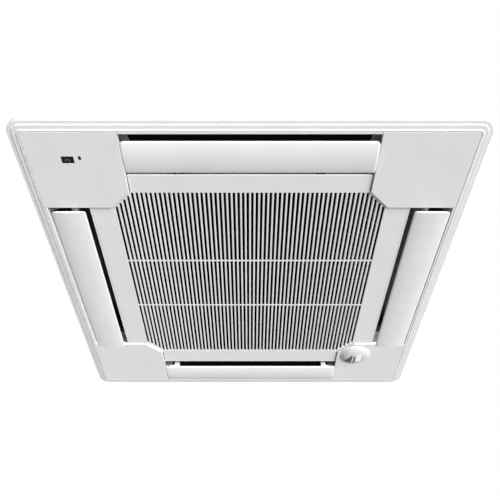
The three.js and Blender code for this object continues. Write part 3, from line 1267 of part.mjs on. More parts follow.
/** The turbo fan: hub, blades and inlet shroud. */
function turboFan() {
  const bladeBottom = bellTop + FAN_INLET_CLEARANCE;
  const depth = FAN_TOP - FAN_WALL + BITE - bladeBottom;
  const blades = Array.from({ length: FAN_BLADES }, (_, i) => {
    const geometry = new THREE.ExtrudeGeometry(bladeOutline(), { depth, bevelEnabled: false });
    geometry.translate(0, 0, bladeBottom).rotateZ((2 * Math.PI * i) / FAN_BLADES);
    return cut(solid(geometry), underShroud());
  });
  return join(fanHub(), fanShroud(), ...blades);
}

add("fan", turboFan(), fanPlastic);

const motorTop = UNIT_TOP - SHEET - GAP;
const motorCase = MOTOR_BOTTOM + MOTOR_HEIGHT;
const footAt = MOTOR_RADIUS + MOTOR_FOOT_OUT;
const motorFeet = onFourSides(post(footAt, 0, MOTOR_FOOT_RADIUS, motorCase, motorTop, BEARING_SIDES));
const flangeHalf = MOTOR_FLANGE_THICKNESS / 2;
const flangeRadius = MOTOR_RADIUS + MOTOR_FLANGE;
const motorFlange = post(0, 0, flangeRadius, motorCase - flangeHalf, motorCase + flangeHalf, MOTOR_SIDES);
const shaftEnd = HUB_BOTTOM - FAN_NUT_HEIGHT - SHAFT_END;
const motorProfile = [
  [0, shaftEnd],
  [SHAFT_RADIUS, shaftEnd],
  [SHAFT_RADIUS, MOTOR_BOTTOM - MOTOR_EDGE],
  [MOTOR_NOSE_RADIUS, MOTOR_BOTTOM - MOTOR_EDGE],
  [MOTOR_NOSE_RADIUS, MOTOR_BOTTOM],
  [MOTOR_RADIUS - MOTOR_EDGE, MOTOR_BOTTOM],
  [MOTOR_RADIUS, MOTOR_BOTTOM + MOTOR_EDGE],
  [MOTOR_RADIUS, motorCase],
  [0, motorCase],
];
add("fan_motor", join(turned(motorProfile, MOTOR_SIDES), motorFlange, ...motorFeet), motorBlack);

const nutTop = HUB_BOTTOM - GAP;
const fanNut = cut(
  post(0, 0, FAN_NUT_RADIUS, nutTop - FAN_NUT_HEIGHT, nutTop, 6),
  post(0, 0, SHAFT_RADIUS + GAP, nutTop - FAN_NUT_HEIGHT - OVERRUN, nutTop + OVERRUN, MOTOR_SIDES),
);
add("fan_nut", fanNut, brass);

// ---------------------------------------------------------------- control box

const controlX = CONTROL_LENGTH / 2;
const controlY0 = -PAN_OPENING + CONTROL_OFFSET;
const controlY1 = controlY0 + CONTROL_WIDTH;
const controlTop = BELL_Z - GAP;
const controlBottom = controlTop - CONTROL_DEPTH;
const controlBox = cut(
  block(-controlX, controlX, controlY0, controlY1, controlBottom, controlTop),
  block(
    -controlX + CONTROL_WALL,
    controlX - CONTROL_WALL,
    controlY0 + CONTROL_WALL,
    controlY1 - CONTROL_WALL,
    controlBottom - OVERRUN,
    controlTop - CONTROL_WALL,
  ),
);
add("control_box", controlBox, greyPlastic);
const lidTop = controlBottom - GAP;
add("control_box_cover", block(-controlX, controlX, controlY0, controlY1, lidTop - SHEET, lidTop), zincSteel);

const boardTop = controlTop - CONTROL_WALL - GAP;
const boardInset = CONTROL_WALL + BOARD_EDGE;
const board = block(
  -controlX + boardInset,
  controlX - boardInset,
  controlY0 + boardInset,
  controlY1 - boardInset,
  boardTop - BOARD_THICKNESS,
  boardTop,
);
const boardMiddle = (controlY0 + controlY1) / 2;
const boardParts = BOARD_PARTS_AT.map((x, i) => {
  const growth = BOARD_PART_GROWTH * i;
  const sides = [boardMiddle - BOARD_PART_HALF, boardMiddle + BOARD_PART_HALF];
  const heights = [boardTop - BOARD_PART_HEIGHT - growth, boardTop - BITE];
  return block(x - BOARD_PART_HALF - growth, x + BOARD_PART_HALF, ...sides, ...heights);
});
add("circuit_board", join(board, ...boardParts), boardGreen);

// ---------------------------------------------------------------- drain pump, float and drain pipe

const pumpAt = coilEndAt + PUMP_FROM_COIL;
const pumpBottom = UNIT_BOTTOM + PUMP_BASE;
const pumpTop = pumpBottom + PUMP_BODY;
const sumpZ = TROUGH_Z + SUMP_CLEARANCE;
const floatX = -coilMiddle;
const floatY = liquidHeaderY + FLOAT_FROM_HEADER;
const armBottom = pumpBottom + FLOAT_ARM_RISE;
const armTop = armBottom + FLOAT_ARM_HEIGHT;
const pumpBody = post(-pumpAt, pumpAt, PUMP_RADIUS, pumpBottom, pumpTop);
const legAt = pumpAt + PUMP_LEG_SHIFT;
const pumpLeg = post(-legAt, legAt, PUMP_LEG_RADIUS, sumpZ, pumpBottom + BITE, PIN_SIDES);
const floatStem = post(floatX, floatY, FLOAT_STEM_RADIUS, sumpZ, armTop - BITE, PIN_SIDES);
const stopTop = sumpZ + FLOAT_STOP;
const floatStop = post(floatX, floatY, FLOAT_STEM_RADIUS + FLOAT_STOP, sumpZ, stopTop, PIN_SIDES);
const armSides = [floatX - FLOAT_ARM_HALF, floatX + FLOAT_ARM_HALF];
const floatArm = block(...armSides, floatY, pumpAt, armBottom, armTop);
add("drain_pump", join(pumpBody, pumpLeg, floatStem, floatStop, floatArm), greyPlastic);
const floatBottom = stopTop + GAP;
const floatTop = floatBottom + FLOAT_HEIGHT;
const floatBore = FLOAT_STEM_RADIUS + FLOAT_FIT;
const floatRing = cut(
  post(floatX, floatY, FLOAT_RADIUS, floatBottom, floatTop, PIN_SIDES),
  post(floatX, floatY, floatBore, floatBottom - OVERRUN, floatTop + OVERRUN, PIN_SIDES),
);
add("pump_float", floatRing, whitePlastic);

const drainEndX = -UNIT_HALF - DRAIN_OUT;
const drainRun = pipe(
  [
    [-pumpAt, pumpAt, pumpTop + GAP],
    [-pumpAt, pumpAt, pumpTop + DRAIN_BEND],
    [-pumpAt - DRAIN_BEND, pumpAt - DRAIN_BEND, DRAIN_HEIGHT],
    [-UNIT_HALF + 3 * DRAIN_BEND, drainY + DRAIN_BEND, DRAIN_HEIGHT],
    [-UNIT_HALF + 2 * DRAIN_BEND, drainY, DRAIN_HEIGHT],
    [-UNIT_HALF, drainY, DRAIN_HEIGHT],
  ],
  DRAIN_PIPE_RADIUS,
  PIPE_STEPS,
);
const socketEnd = -UNIT_HALF + LINER_THICKNESS;
const boreEnds = [drainEndX - OVERRUN, drainEndX + DRAIN_SOCKET_LENGTH];
const drainSocket = rod(drainY, DRAIN_HEIGHT, DRAIN_SOCKET_RADIUS, drainEndX, socketEnd, SOCKET_SIDES);
const socketBore = rod(drainY, DRAIN_HEIGHT, DRAIN_BORE_RADIUS, ...boreEnds, SOCKET_SIDES);
add("drain_pipe", cut(join(drainRun, drainSocket), socketBore), greyPlastic);

// ---------------------------------------------------------------- fasteners and hangers

/** A hanger bracket in the frame of a cut-off corner: u outwards, v along the cut. */
function hangerBracket() {
  const u0 = UNIT_SUM / SQRT2 + GAP;
  const u1 = u0 + BRACKET_REACH;
  const earTop = BRACKET_BASE + BRACKET_SHEET;
  const top = BRACKET_BASE + BRACKET_HEIGHT;
  const width = [-BRACKET_HALF_WIDTH, BRACKET_HALF_WIDTH];
  const plate = block(u0, u0 + BRACKET_SHEET, ...width, BRACKET_BASE, top);
  const ear = block(u0, u1, ...width, BRACKET_BASE, earTop);
  const gussetCorners = [[u0, BRACKET_BASE], [u1 - GUSSET_INSET, BRACKET_BASE], [u0, top - GUSSET_INSET]];
  const gussets = [-BRACKET_HALF_WIDTH, BRACKET_HALF_WIDTH - BRACKET_SHEET].map((v) => {
    const options = { depth: BRACKET_SHEET, bevelEnabled: false };
    const geometry = new THREE.ExtrudeGeometry(outline(gussetCorners), options);
    return solid(geometry.rotateX(Math.PI / 2).translate(0, v + BRACKET_SHEET, 0));
  });
  const slotMiddle = u0 + BRACKET_REACH / 2 + ROD_SLOT_OUT;
  const half = ROD_SLOT_WIDTH / 2;
  const straight = ROD_SLOT_LENGTH / 2 - half;
  const through = [BRACKET_BASE - OVERRUN, earTop + OVERRUN];
  const slot = join(
    block(slotMiddle - half, slotMiddle + half, -straight, straight, ...through),
    post(slotMiddle, straight, half, ...through, PIN_SIDES),
    post(slotMiddle, -straight, half, ...through, PIN_SIDES),
  );
  return cut(join(plate, ear, ...gussets), slot);
}

/** A panel screw: head under the deck, shank up into the unit. */
function panelScrew() {
  const headTop = DECK_Z - GAP;
  const head = post(SCREW_AT, SCREW_AT, SCREW_HEAD_RADIUS, headTop - SCREW_HEAD_HEIGHT, headTop, 6);
  const shank = post(SCREW_AT, SCREW_AT, SCREW_RADIUS, headTop - BITE, DECK_Z + SCREW_LENGTH, PIN_SIDES);
  return join(head, shank);
}

CORNERS.forEach((corner, turns) => {
  const group = turnedGroup(turns);
  const diagonal = new THREE.Group();
  diagonal.rotation.z = Math.PI / 4;
  group.add(diagonal);
  add("hanger_bracket_" + corner, hangerBracket(), zincSteel, diagonal);
  add("panel_screw_" + corner, panelScrew(), zincSteel, group);
});

export default unit;
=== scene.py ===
"""Ceiling cassette air conditioner: every visible surface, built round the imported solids.

+Z is up, the origin is the middle of the panel in the plane of the ceiling, and -Y is the front.
Sizes are written in millimetres, as on a drawing, and become metres where a mesh is made.
"""

import json
import logging
import math
from dataclasses import dataclass
from enum import Enum

import bmesh
import bpy
import numpy as np
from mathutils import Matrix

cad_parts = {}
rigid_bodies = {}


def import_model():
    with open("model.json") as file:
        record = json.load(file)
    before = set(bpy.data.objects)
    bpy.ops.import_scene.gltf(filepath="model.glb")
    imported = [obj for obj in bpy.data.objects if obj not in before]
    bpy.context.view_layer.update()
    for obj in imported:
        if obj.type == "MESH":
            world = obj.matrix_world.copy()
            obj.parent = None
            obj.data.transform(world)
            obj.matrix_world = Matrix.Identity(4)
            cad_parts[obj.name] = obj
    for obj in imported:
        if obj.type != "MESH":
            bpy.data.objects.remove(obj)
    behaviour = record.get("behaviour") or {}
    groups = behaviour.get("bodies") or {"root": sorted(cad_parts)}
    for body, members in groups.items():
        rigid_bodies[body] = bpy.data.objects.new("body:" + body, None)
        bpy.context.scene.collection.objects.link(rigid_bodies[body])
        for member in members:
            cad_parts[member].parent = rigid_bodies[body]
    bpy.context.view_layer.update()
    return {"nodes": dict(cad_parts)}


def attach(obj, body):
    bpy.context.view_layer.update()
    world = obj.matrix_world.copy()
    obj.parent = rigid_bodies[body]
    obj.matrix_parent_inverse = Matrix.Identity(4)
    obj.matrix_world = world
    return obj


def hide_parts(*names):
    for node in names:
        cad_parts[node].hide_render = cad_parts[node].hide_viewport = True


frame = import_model()

METRES = 0.001  # a millimetre in metres
SQRT2 = math.sqrt(2)
SHARP = math.radians(38)  # an edge that turns by more than this isn't shaded as a curve
LOG = logging.getLogger("cassette")

Tree = bpy.types.NodeTree
Node = bpy.types.Node
Socket = bpy.types.NodeSocket
Pair = tuple[float, float]


class Side(Enum):
    """The panel's four sides, as quarter turns about Z from the front."""

    FRONT = 0
    RIGHT = 1
    BACK = 2
    LEFT = 3


class Corner(Enum):
    """The panel's four corners, as quarter turns about Z from the back right."""

    BACK_RIGHT = 0
    BACK_LEFT = 1
    FRONT_LEFT = 2
    FRONT_RIGHT = 3


# ---------------------------------------------------------------- sizes


@dataclass(frozen=True)
class PanelSizes:
    """The panel's driving sizes, in millimetres; heights are above the ceiling's plane."""

    half: float = 475.0
    corner_radius: float = 30.0
    rim_width: float = 22.5
    lip: float = -10.0
    step: float = 2.5
    seam: float = 0.8
    deck: float = -6.0
    wall: float = 2.5
    neck: float = 17.7
    slot_outer: float = 446.2
    slot_inner: float = 353.5
    cover_arm: float = 259.5
    wall_arm: float = 261.8
    grille_reach: float = 351.1
    slats_half: float = 298.5
    slats_sum: float = 557.0
    pivot_r: float = 388.0
    pivot_z: float = -6.5
    duct_half: float = 242.5
    grille_gap: float = 1.9
    slats_margin: float = 4.0
    sensor_in: float = 44.0
    hinge_x: float = 150.0
    hinge_y: float = 336.0
    hinge_rise: float = 4.5

    @property
    def hinge_z(self) -> float:
        """Height of the grille's hinge."""
        return self.lip + self.hinge_rise

    @property
    def face(self) -> float:
        """Height of the panel's face."""
        return self.lip - 2 * self.step

    @property
    def deck_top(self) -> float:
        """Height of the deck's upper side."""
        return self.deck + self.wall

    @property
    def rim_inner(self) -> float:
        """Middle of the panel to the rim's inner wall."""
        return self.half - self.rim_width

    @property
    def cover_reach(self) -> float:
        """Middle of the panel to the covers' outer edges."""
        return self.rim_inner - self.seam

    @property
    def grille_arm(self) -> float:
        """Half the width of the grille's arms."""
        return self.cover_arm - self.grille_gap

    @property
    def grille_sum(self) -> float:
        """|x| + |y| along the grille's cut-off corners."""
        return self.slats_sum + self.slats_margin

    @property
    def cover_sum(self) -> float:
        """|x| + |y| along the covers' cut-off corners."""
        return self.grille_sum + SQRT2

    @property
    def wall_sum(self) -> float:
        """|x| + |y| along the pocket's cut-off corners."""
        return self.cover_sum + (self.wall_arm - self.cover_arm) * SQRT2

    @property
    def sensor_at(self) -> float:
        """x and y of the sensor's axis."""
        return (self.cover_sum + self.sensor_in * SQRT2) / 2


PANEL = PanelSizes()


@dataclass(frozen=True)
class UnitSizes:
    """The cabinet's driving sizes, in millimetres."""

    top: float = 274.0
    half: float = 419.9
    sum: float = 729.8


UNIT = UnitSizes()

# ---------------------------------------------------------------- outlines and skins


@dataclass(frozen=True)
class Outline:
    """A closed polygon that runs anticlockwise, with its corners rounded."""

    corners: np.ndarray
    radius: float | np.ndarray = 1.0
    steps: int = 4
    straight: int = 1

    def at(self, inset: float = 0.0) -> np.ndarray:
        """The outline moved in by a distance.

        A corner moves by inset * (n1 + n2) / (1 + n1 . n2), where n1 and n2 are the outward normals
        of its two edges. Its arc turns n1 into n2 about a centre that lies one radius in from both
        edges. An outer corner's radius shrinks by the inset and an inner corner's grows by it.

        Args:
            inset: How far the outline moves in, in millimetres.

        Returns:
            The points, as an array of shape (count, 2).
        """
        corners = np.asarray(self.corners, float)
        arriving = corners - np.roll(corners, 1, axis=0)
        arriving /= np.linalg.norm(arriving, axis=1, keepdims=True)
        leaving = np.roll(arriving, -1, axis=0)
        first = np.stack([arriving[:, 1], -arriving[:, 0]], axis=1)
        second = np.stack([leaving[:, 1], -leaving[:, 0]], axis=1)
        along = (first * second).sum(axis=1, keepdims=True)
        moved = corners - inset * (first + second) / (1 + along)
        cross = arriving[:, 0] * leaving[:, 1] - arriving[:, 1] * leaving[:, 0]
        turn = np.arctan2(cross, along[:, 0])
        side = np.where(turn < 0, -1.0, 1.0)
        radius = np.maximum(np.broadcast_to(self.radius, len(corners)) - inset * side, 0.05)
        start = moved - arriving * (radius * np.tan(np.abs(turn) / 2))[:, None]
        centre = start - first * (radius * side)[:, None]
        angle = turn[:, None] * np.linspace(0, 1, self.steps + 1)
        cosine = np.cos(angle)
        sine = np.sin(angle)
        outward = np.stack(
            [
                first[:, :1] * cosine - first[:, 1:] * sine,
                first[:, :1] * sine + first[:, 1:] * cosine,
            ],
            axis=-1,
        )
        arcs = centre[:, None] + outward * (radius * side)[:, None, None]
        share = (np.arange(1, self.straight) / self.straight)[None, :, None]
        following = np.roll(arcs[:, :1], -1, axis=0)
        bridges = arcs[:, -1:] + (following - arcs[:, -1:]) * share
        return np.concatenate([arcs, bridges], axis=1).reshape(-1, 2)


def rectangle(x0: float, x1: float, y0: float, y1: float) -> np.ndarray:
    """The four corners of a rectangle, anticlockwise."""
    return np.array([[x0, y0], [x1, y0], [x1, y1], [x0, y1]])


def centred(middle: Pair, half_x: float, half_y: float) -> np.ndarray:
    """The four corners of a rectangle round its middle, anticlockwise."""
    x, y = middle
    return rectangle(x - half_x, x + half_x, y - half_y, y + half_y)


def cut_square(half: float, total: float) -> np.ndarray:
    """The eight corners of a square cut off where |x| + |y| passes a total, anticlockwise."""
    a = total - half
    quarter = np.array([[half, a], [a, half]])
    return four_quarters(quarter)


def four_quarters(quarter: np.ndarray) -> np.ndarray:
    """The corners of one quarter followed by their three quarter turns about the origin."""
    x, y = quarter.T
    turns = [np.stack(pair, axis=1) for pair in ((x, y), (-y, x), (-x, -y), (y, -x))]
    return np.concatenate(turns)


def nearest_on(points: np.ndarray, corners: np.ndarray) -> np.ndarray:
    """For each point, the nearest point of a convex polygon's outline.

    Each point is dropped square onto every edge, held between the edge's ends, and the closest of
    these feet is kept.

    Args:
        points: The points, of shape (count, 2).
        corners: The polygon's corners, of shape (edges, 2).

    Returns:
        The nearest points, of shape (count, 2).
    """
    run = np.roll(corners, -1, axis=0) - corners
    offset = points[:, None] - corners[None]
    share = (offset * run).sum(axis=-1) / (run**2).sum(axis=-1)
    feet = corners[None] + run[None] * np.clip(share, 0, 1)[..., None]
    best = ((points[:, None] - feet) ** 2).sum(axis=-1).argmin(axis=1)
    return feet[np.arange(len(points)), best]


def quarter_arc(radius: float, steps: int) -> tuple[np.ndarray, np.ndarray]:
    """Insets and rises of a rounded edge: radius * (1 - sin a) and radius * (1 - cos a)."""
    angle = np.linspace(0, math.pi / 2, steps + 1)
    return radius * (1 - np.sin(angle)), radius * (1 - np.cos(angle))


class Skin:
    """Closed surfaces gathered into one mesh, in millimetres."""

    def __init__(self) -> None:
        """Starts with nothing."""
        self.points: list[np.ndarray] = []
        self.faces: list[list[int]] = []
        self.count = 0

    def add(self, rings: np.ndarray, joined: bool = False) -> "Skin":
        """Adds a surface stretched over closed rings of points.

        Neighbouring rings are joined by quads. The first and last ring are closed by a face each, or
        joined to each other. The signed volume, the sum over triangles of p0 . (p1 x p2) / 6, says
        which way round the faces lie, so that they always point outwards.

        Args:
            rings: Points of shape (rings, around, 3).
            joined: Whether the last ring meets the first.

        Returns:
            This skin.
        """
        rings = np.asarray(rings, float)
        count, around = rings.shape[:2]
        index = np.arange(count * around).reshape(count, around)
        if joined:
            index = np.vstack([index, index[:1]])
        near = index[:-1]
        far = index[1:]
        quads = np.stack([near, np.roll(near, -1, 1), np.roll(far, -1, 1), far], axis=-1)
        quads = quads.reshape(-1, 4)
        points = rings.reshape(-1, 3)
        volume = self._volume(points, quads[:, [0, 1, 2]]) + self._volume(points, quads[:, [0, 2, 3]])
        caps = [] if joined else [index[0][::-1], index[-1]]
        for cap in caps:
            fan = np.stack([np.full(around - 2, cap[0]), cap[1:-1], cap[2:]], axis=1)
            volume += self._volume(points, fan)
        order = 1 if volume > 0 else -1
        self.faces += (quads[:, ::order] + self.count).tolist()
        self.faces += [(cap[::order] + self.count).tolist() for cap in caps]
        self.points.append(points)
        self.count += len(points)
        return self

    @staticmethod
    def _volume(points: np.ndarray, triangles: np.ndarray) -> float:
        """Six times the signed volume between the origin and some triangles."""
        a, b, c = (points[triangles[:, i]] for i in range(3))
        return float((a * np.cross(b, c)).sum())

    def merge(self, other: "Skin", turns: int = 0, mirrored: bool = False) -> "Skin":
        """Adds another skin, mirrored across x = 0 or turned about Z by quarter turns.

        Args:
            other: The skin to add.
            turns: Quarter turns about Z.
            mirrored: Whether x changes sign first, which also turns each face round.

        Returns:
            This skin.
        """
        points = np.concatenate(other.points)
        faces = other.faces
        if mirrored:
            points = points * np.array([-1.0, 1.0, 1.0])
            faces = [face[::-1] for face in faces]
        self.faces += [[index + self.count for index in face] for face in faces]
        self.points.append(turned_about_z(points, turns))
        self.count += len(points)
        return self

    def on_four_sides(self, part: "Skin") -> "Skin":
        """Adds a part four times, turned to the four sides."""
        for turns in range(4):
            self.merge(part, turns)
        return self

    def mesh(self, name: str) -> bpy.types.Mesh:
        """The skin as a mesh in metres, with its doubled points merged.

        Args:
            name: The mesh's name.

        Returns:
            The new mesh.
        """
        data = bpy.data.meshes.new(name)
        data.from_pydata(np.concatenate(self.points) * METRES, [], self.faces)
        net = bmesh.new()
        net.from_mesh(data)
        bmesh.ops.remove_doubles(net, verts=net.verts, dist=1e-6)
        bmesh.ops.dissolve_degenerate(net, edges=net.edges, dist=1e-7)
        net.to_mesh(data)
        net.free()
        data.validate()
        return data


def turned_about_z(points: np.ndarray, turns: int) -> np.ndarray:
    """Points turned about Z by quarter turns: (x, y) becomes (-y, x) at each."""
    x, y, z = np.moveaxis(points, -1, 0)
    for _ in range(turns % 4):
        x, y = -y, x
    return np.stack([x, y, z], axis=-1)


def levels(profile: list[Pair], outline: Outline) -> np.ndarray:
    """Rings of an outline at (inset, height) pairs, lying in XY."""
    flat = [np.insert(outline.at(inset), 2, height, axis=1) for inset, height in profile]
    return np.stack(flat)


def rounded_levels(bottom: float, top: float, edge: float, steps: int = 3) -> list[Pair]:
    """(inset, height) pairs of a plate whose two edges are rounded by quarter circles.

    Args:
        bottom: The lower face's height.
        top: The upper face's height.
        edge: The edges' radius.
        steps: Flats in each edge.

    Returns:
        The pairs, from the lower face to the upper one.
    """
    inset, rise = quarter_arc(edge, steps)
    lower = list(zip(inset, bottom + rise))
    upper = list(zip(inset[::-1], top - rise[::-1]))
    return lower + upper


def plate(outline: Outline, bottom: float, top: float, edge: float = 0.4, steps: int = 3) -> np.ndarray:
    """Rings of a flat plate with rounded edges."""
    return levels(rounded_levels(bottom, top, edge, steps), outline)


def block(x: Pair, y: Pair, z: Pair, edge: float = 0.5) -> np.ndarray:
    """Rings of a block with all its edges rounded."""
    edge = min(edge, (x[1] - x[0]) / 2.2, (y[1] - y[0]) / 2.2, (z[1] - z[0]) / 2.2)
    return plate(Outline(rectangle(*x, *y), edge * 1.05, 2), *z, edge, 2)


def standing(rings: np.ndarray) -> np.ndarray:
    """Rings drawn as (r, z, t) placed at a slot's front: t along X and r outwards along -Y."""
    r, z, t = np.moveaxis(rings, -1, 0)
    return np.stack([t, -r, z], axis=-1)


def ring_between(
    outer: Outline, inner: np.ndarray, bottom: float, top: float, edge: float = 0.6
) -> np.ndarray:
    """Rings of a flat frame between an outline and a convex hole, both with rounded edges.

    Each point of the outline is paired with the nearest point of the hole, so the face between
    them never folds. The section runs up the outside, across the top, and down the inside.

    Args:
        outer: The outside.
        inner: The hole's corners.
        bottom: The lower face's height.
        top: The upper face's height.
        edge: The radius of the lower edges.

    Returns:
        Rings to be joined end to end.
    """
    inset, rise = quarter_arc(edge, 3)
    middle = inner.mean(axis=0)
    spread = np.linalg.norm(inner - middle, axis=1).max()
    pairs = []
    for into, height in [*zip(inset, bottom + rise), (0.0, top)]:
        pairs.append(np.insert(outer.at(into), 2, height, axis=1))
    for into, height in [(0.0, top), *zip(inset[::-1], bottom + rise[::-1])]:
        hole = middle + (inner - middle) * (1 + into / spread)
        pairs.append(np.insert(nearest_on(outer.at(0), hole), 2, height, axis=1))
    return np.stack(pairs)


def round_frame(outer: Outline, centre: Pair, radius: float, profile: list[tuple]) -> np.ndarray:
    """Rings between an outline and a round hole.

    Args:
        outer: The outside, which sees the hole's centre from all round.
        centre: The hole's centre.
        radius: The hole's radius.
        profile: (is outside, inset, height) for each ring, in order round the section.

    Returns:
        Rings to be joined end to end.
    """
    middle = np.array(centre)
    ray = outer.at(0) - middle
    ray /= np.linalg.norm(ray, axis=1, keepdims=True)
    rings = []
    for outside, inset, height in profile:
        flat = outer.at(inset) if outside else middle + ray * (radius + inset)
        rings.append(np.insert(flat, 2, height, axis=1))
    return np.stack(rings)


def swept_square(section: np.ndarray, half: float, corner_radius: float, arc_steps: int = 16) -> np.ndarray:
    """A section of (distance from the middle, height) points carried round a square's edge.

    Round a corner the section turns about the corner's centre: a point at distance d lies at
    centre + (d - centre) * (cos a, sin a).

    Args:
        section: Points of shape (count, 2), closed.
        half: Half the square's width.
        corner_radius: Its corners' radius.
        arc_steps: Flats in a quarter turn.

    Returns:
        Rings to be joined end to end, of shape (4 * (arc_steps + 1), count, 3).
    """
    centre = half - corner_radius
    corner = np.repeat(np.array([[1, 1], [-1, 1], [-1, -1], [1, -1]], float), arc_steps + 1, axis=0)
    share = np.tile(np.linspace(0, 1, arc_steps + 1), 4)
    angle = (np.repeat(np.arange(4), arc_steps + 1) + share) * math.pi / 2
    beyond = section[:, 0] - centre
    x = corner[:, :1] * centre + np.outer(np.cos(angle), beyond)
    y = corner[:, 1:] * centre + np.outer(np.sin(angle), beyond)
    z = np.broadcast_to(section[:, 1], x.shape)
    return np.stack([x, y, z], axis=-1)


def revolved(profile: np.ndarray, around: int = 48, centre: Pair = (0.0, 0.0)) -> np.ndarray:
    """A profile of (radius, height) points turned about a vertical axis: (r cos a, r sin a, z)."""
    angle = np.linspace(0, 2 * math.pi, around, endpoint=False)
    x = centre[0] + np.outer(profile[:, 0], np.cos(angle))
    y = centre[1] + np.outer(profile[:, 0], np.sin(angle))
    return np.stack([x, y, np.broadcast_to(profile[:, 1:], x.shape)], axis=-1)


def lying(rings: np.ndarray, y: float, z: float) -> np.ndarray:
    """Rings turned about Z, laid down so that their axis runs along X at a given y and z."""
    a, b, c = np.moveaxis(rings, -1, 0)
    return np.stack([c, a + y, b + z], axis=-1)


# ---------------------------------------------------------------- materials


def linear(code: str) -> tuple[float, float, float, float]:
    """An sRGB hex colour as linear red, green, blue and a full alpha."""
    value = np.array([int(code[i : i + 2], 16) for i in (1, 3, 5)]) / 255
    low = value / 12.92
    high = ((value + 0.055) / 1.055) ** 2.4
    red, green, blue = np.where(value <= 0.04045, low, high)
    return float(red), float(green), float(blue), 1.0


def per_metre(size_mm: float) -> float:
    """A pattern's scale, in repeats per metre, from the real size of one repeat."""
    return 1.0 / (size_mm * METRES)


def add_node(tree: Tree, kind: str, settings: dict | None = None, **inputs: object) -> Node:
    """Adds a node with its settings, values and links.

    Args:
        tree: The tree that gets the node.
        kind: The node's type name.
        settings: Attributes of the node.
        inputs: A value or an output socket for each input; underscores stand for spaces.

    Returns:
        The new node.
    """
    node = tree.nodes.new(kind)
    for key, value in (settings or {}).items():
        setattr(node, key, value)
    for key, value in inputs.items():
        name = key.replace("_", " ")
        socket = node.inputs[int(name[1:])] if name[0] == "i" and name[1:].isdigit() else node.inputs[name]
        if isinstance(value, Socket):
            tree.links.new(value, socket)
        else:
            socket.default_value = value
    return node


def darkened(code: str, share: float) -> tuple[float, float, float, float]:
    """A share of an sRGB hex colour's light, as linear red, green, blue and a full alpha."""
    return (*(channel * share for channel in linear(code)[:3]), 1.0)


@dataclass(frozen=True)
class Finish:
    """A real material and how its surface was made."""

    name: str
    colour: str
    slot: str
    roughness: float = 0.45
    ior: float = 1.5
    metallic: float = 0.0
    specular: float = 0.5

    def material(self) -> bpy.types.Material:
        """The finish as a material, made once."""
        found = bpy.data.materials.get(self.name)
        if found:
            return found
        material = bpy.data.materials.new(self.name)
        material.use_nodes = True
        tree = material.node_tree
        tree.nodes.clear()
        shader = add_node(tree, "ShaderNodeBsdfPrincipled")
        shader.inputs["Roughness"].default_value = self.roughness
        shader.inputs["Metallic"].default_value = self.metallic
        if self.metallic == 0:
            shader.inputs["IOR"].default_value = self.ior
            shader.inputs["Specular IOR Level"].default_value = self.specular
        add_node(tree, "ShaderNodeOutputMaterial", Surface=shader.outputs[0])
        place = add_node(tree, "ShaderNodeTexCoord").outputs["Object"]
        self.pattern(tree, shader, place)
        return material

    def pattern(self, tree: Tree, shader: Node, place: Socket) -> None:
        """Lays the finish's pattern over the plain shader; each kind has its own."""
        raise NotImplementedError

    def relief(self, tree: Tree, shader: Node, height: object, depth_mm: float) -> None:
        """Raises the surface by a height from 0 to 1, times a depth."""
        bump = add_node(tree, "ShaderNodeBump", Height=height, Strength=1.0, Distance=depth_mm * METRES)
        tree.links.new(bump.outputs[0], shader.inputs["Normal"])

    def two_tone(self, tree: Tree, shader: Node, value: Socket, ends: tuple, tones: tuple) -> None:
        """Colours the surface from one tone to the other as a value goes between two ends."""
        share = add_node(tree, "ShaderNodeMapRange", Value=value, From_Min=ends[0], From_Max=ends[1])
        mix = add_node(
            tree, "ShaderNodeMix", {"data_type": "RGBA"}, i0=share.outputs[0], i6=tones[0], i7=tones[1]
        )
        tree.links.new(mix.outputs[2], shader.inputs["Base Color"])

    def vary_gloss(self, tree: Tree, shader: Node, value: Socket, ends: tuple, change: tuple) -> None:
        """Changes the roughness by one amount to another as a value goes between two ends."""
        rough = add_node(
            tree,
            "ShaderNodeMapRange",
            Value=value,
            From_Min=ends[0],
            From_Max=ends[1],
            To_Min=self.roughness + change[0],
            To_Max=self.roughness + change[1],
        )
        tree.links.new(rough.outputs[0], shader.inputs["Roughness"])


@dataclass(frozen=True)
class MouldedPlastic(Finish):
    """ABS moulded in a spark-eroded tool: an even satin with a fine leathery grain.

    The grain of about 0.3 mm is drawn at 1.1 mm, because it would be lost at the render's size.
    """

    grain_mm: float = 1.1
    grain_depth_mm: float = 0.012
    shade: float = 0.97

    def pattern(self, tree: Tree, shader: Node, place: Socket) -> None:
        """A faint cloudy change of shade and gloss, and the grain's relief."""
        cloud = add_node(tree, "ShaderNodeTexNoise", Vector=place, Scale=per_metre(90), Detail=2.0)
        tones = (darkened(self.colour, self.shade), linear(self.colour))
        self.two_tone(tree, shader, cloud.outputs[0], (0.35, 0.65), tones)
        spots = add_node(tree, "ShaderNodeTexNoise", Vector=place, Scale=per_metre(14), Detail=3.0)
        self.vary_gloss(tree, shader, spots.outputs[0], (0.3, 0.7), (-0.03, 0.03))
        grain = add_node(tree, "ShaderNodeTexNoise", Vector=place, Scale=per_metre(self.grain_mm), Detail=1.0)
        self.relief(tree, shader, grain.outputs[0], self.grain_depth_mm)


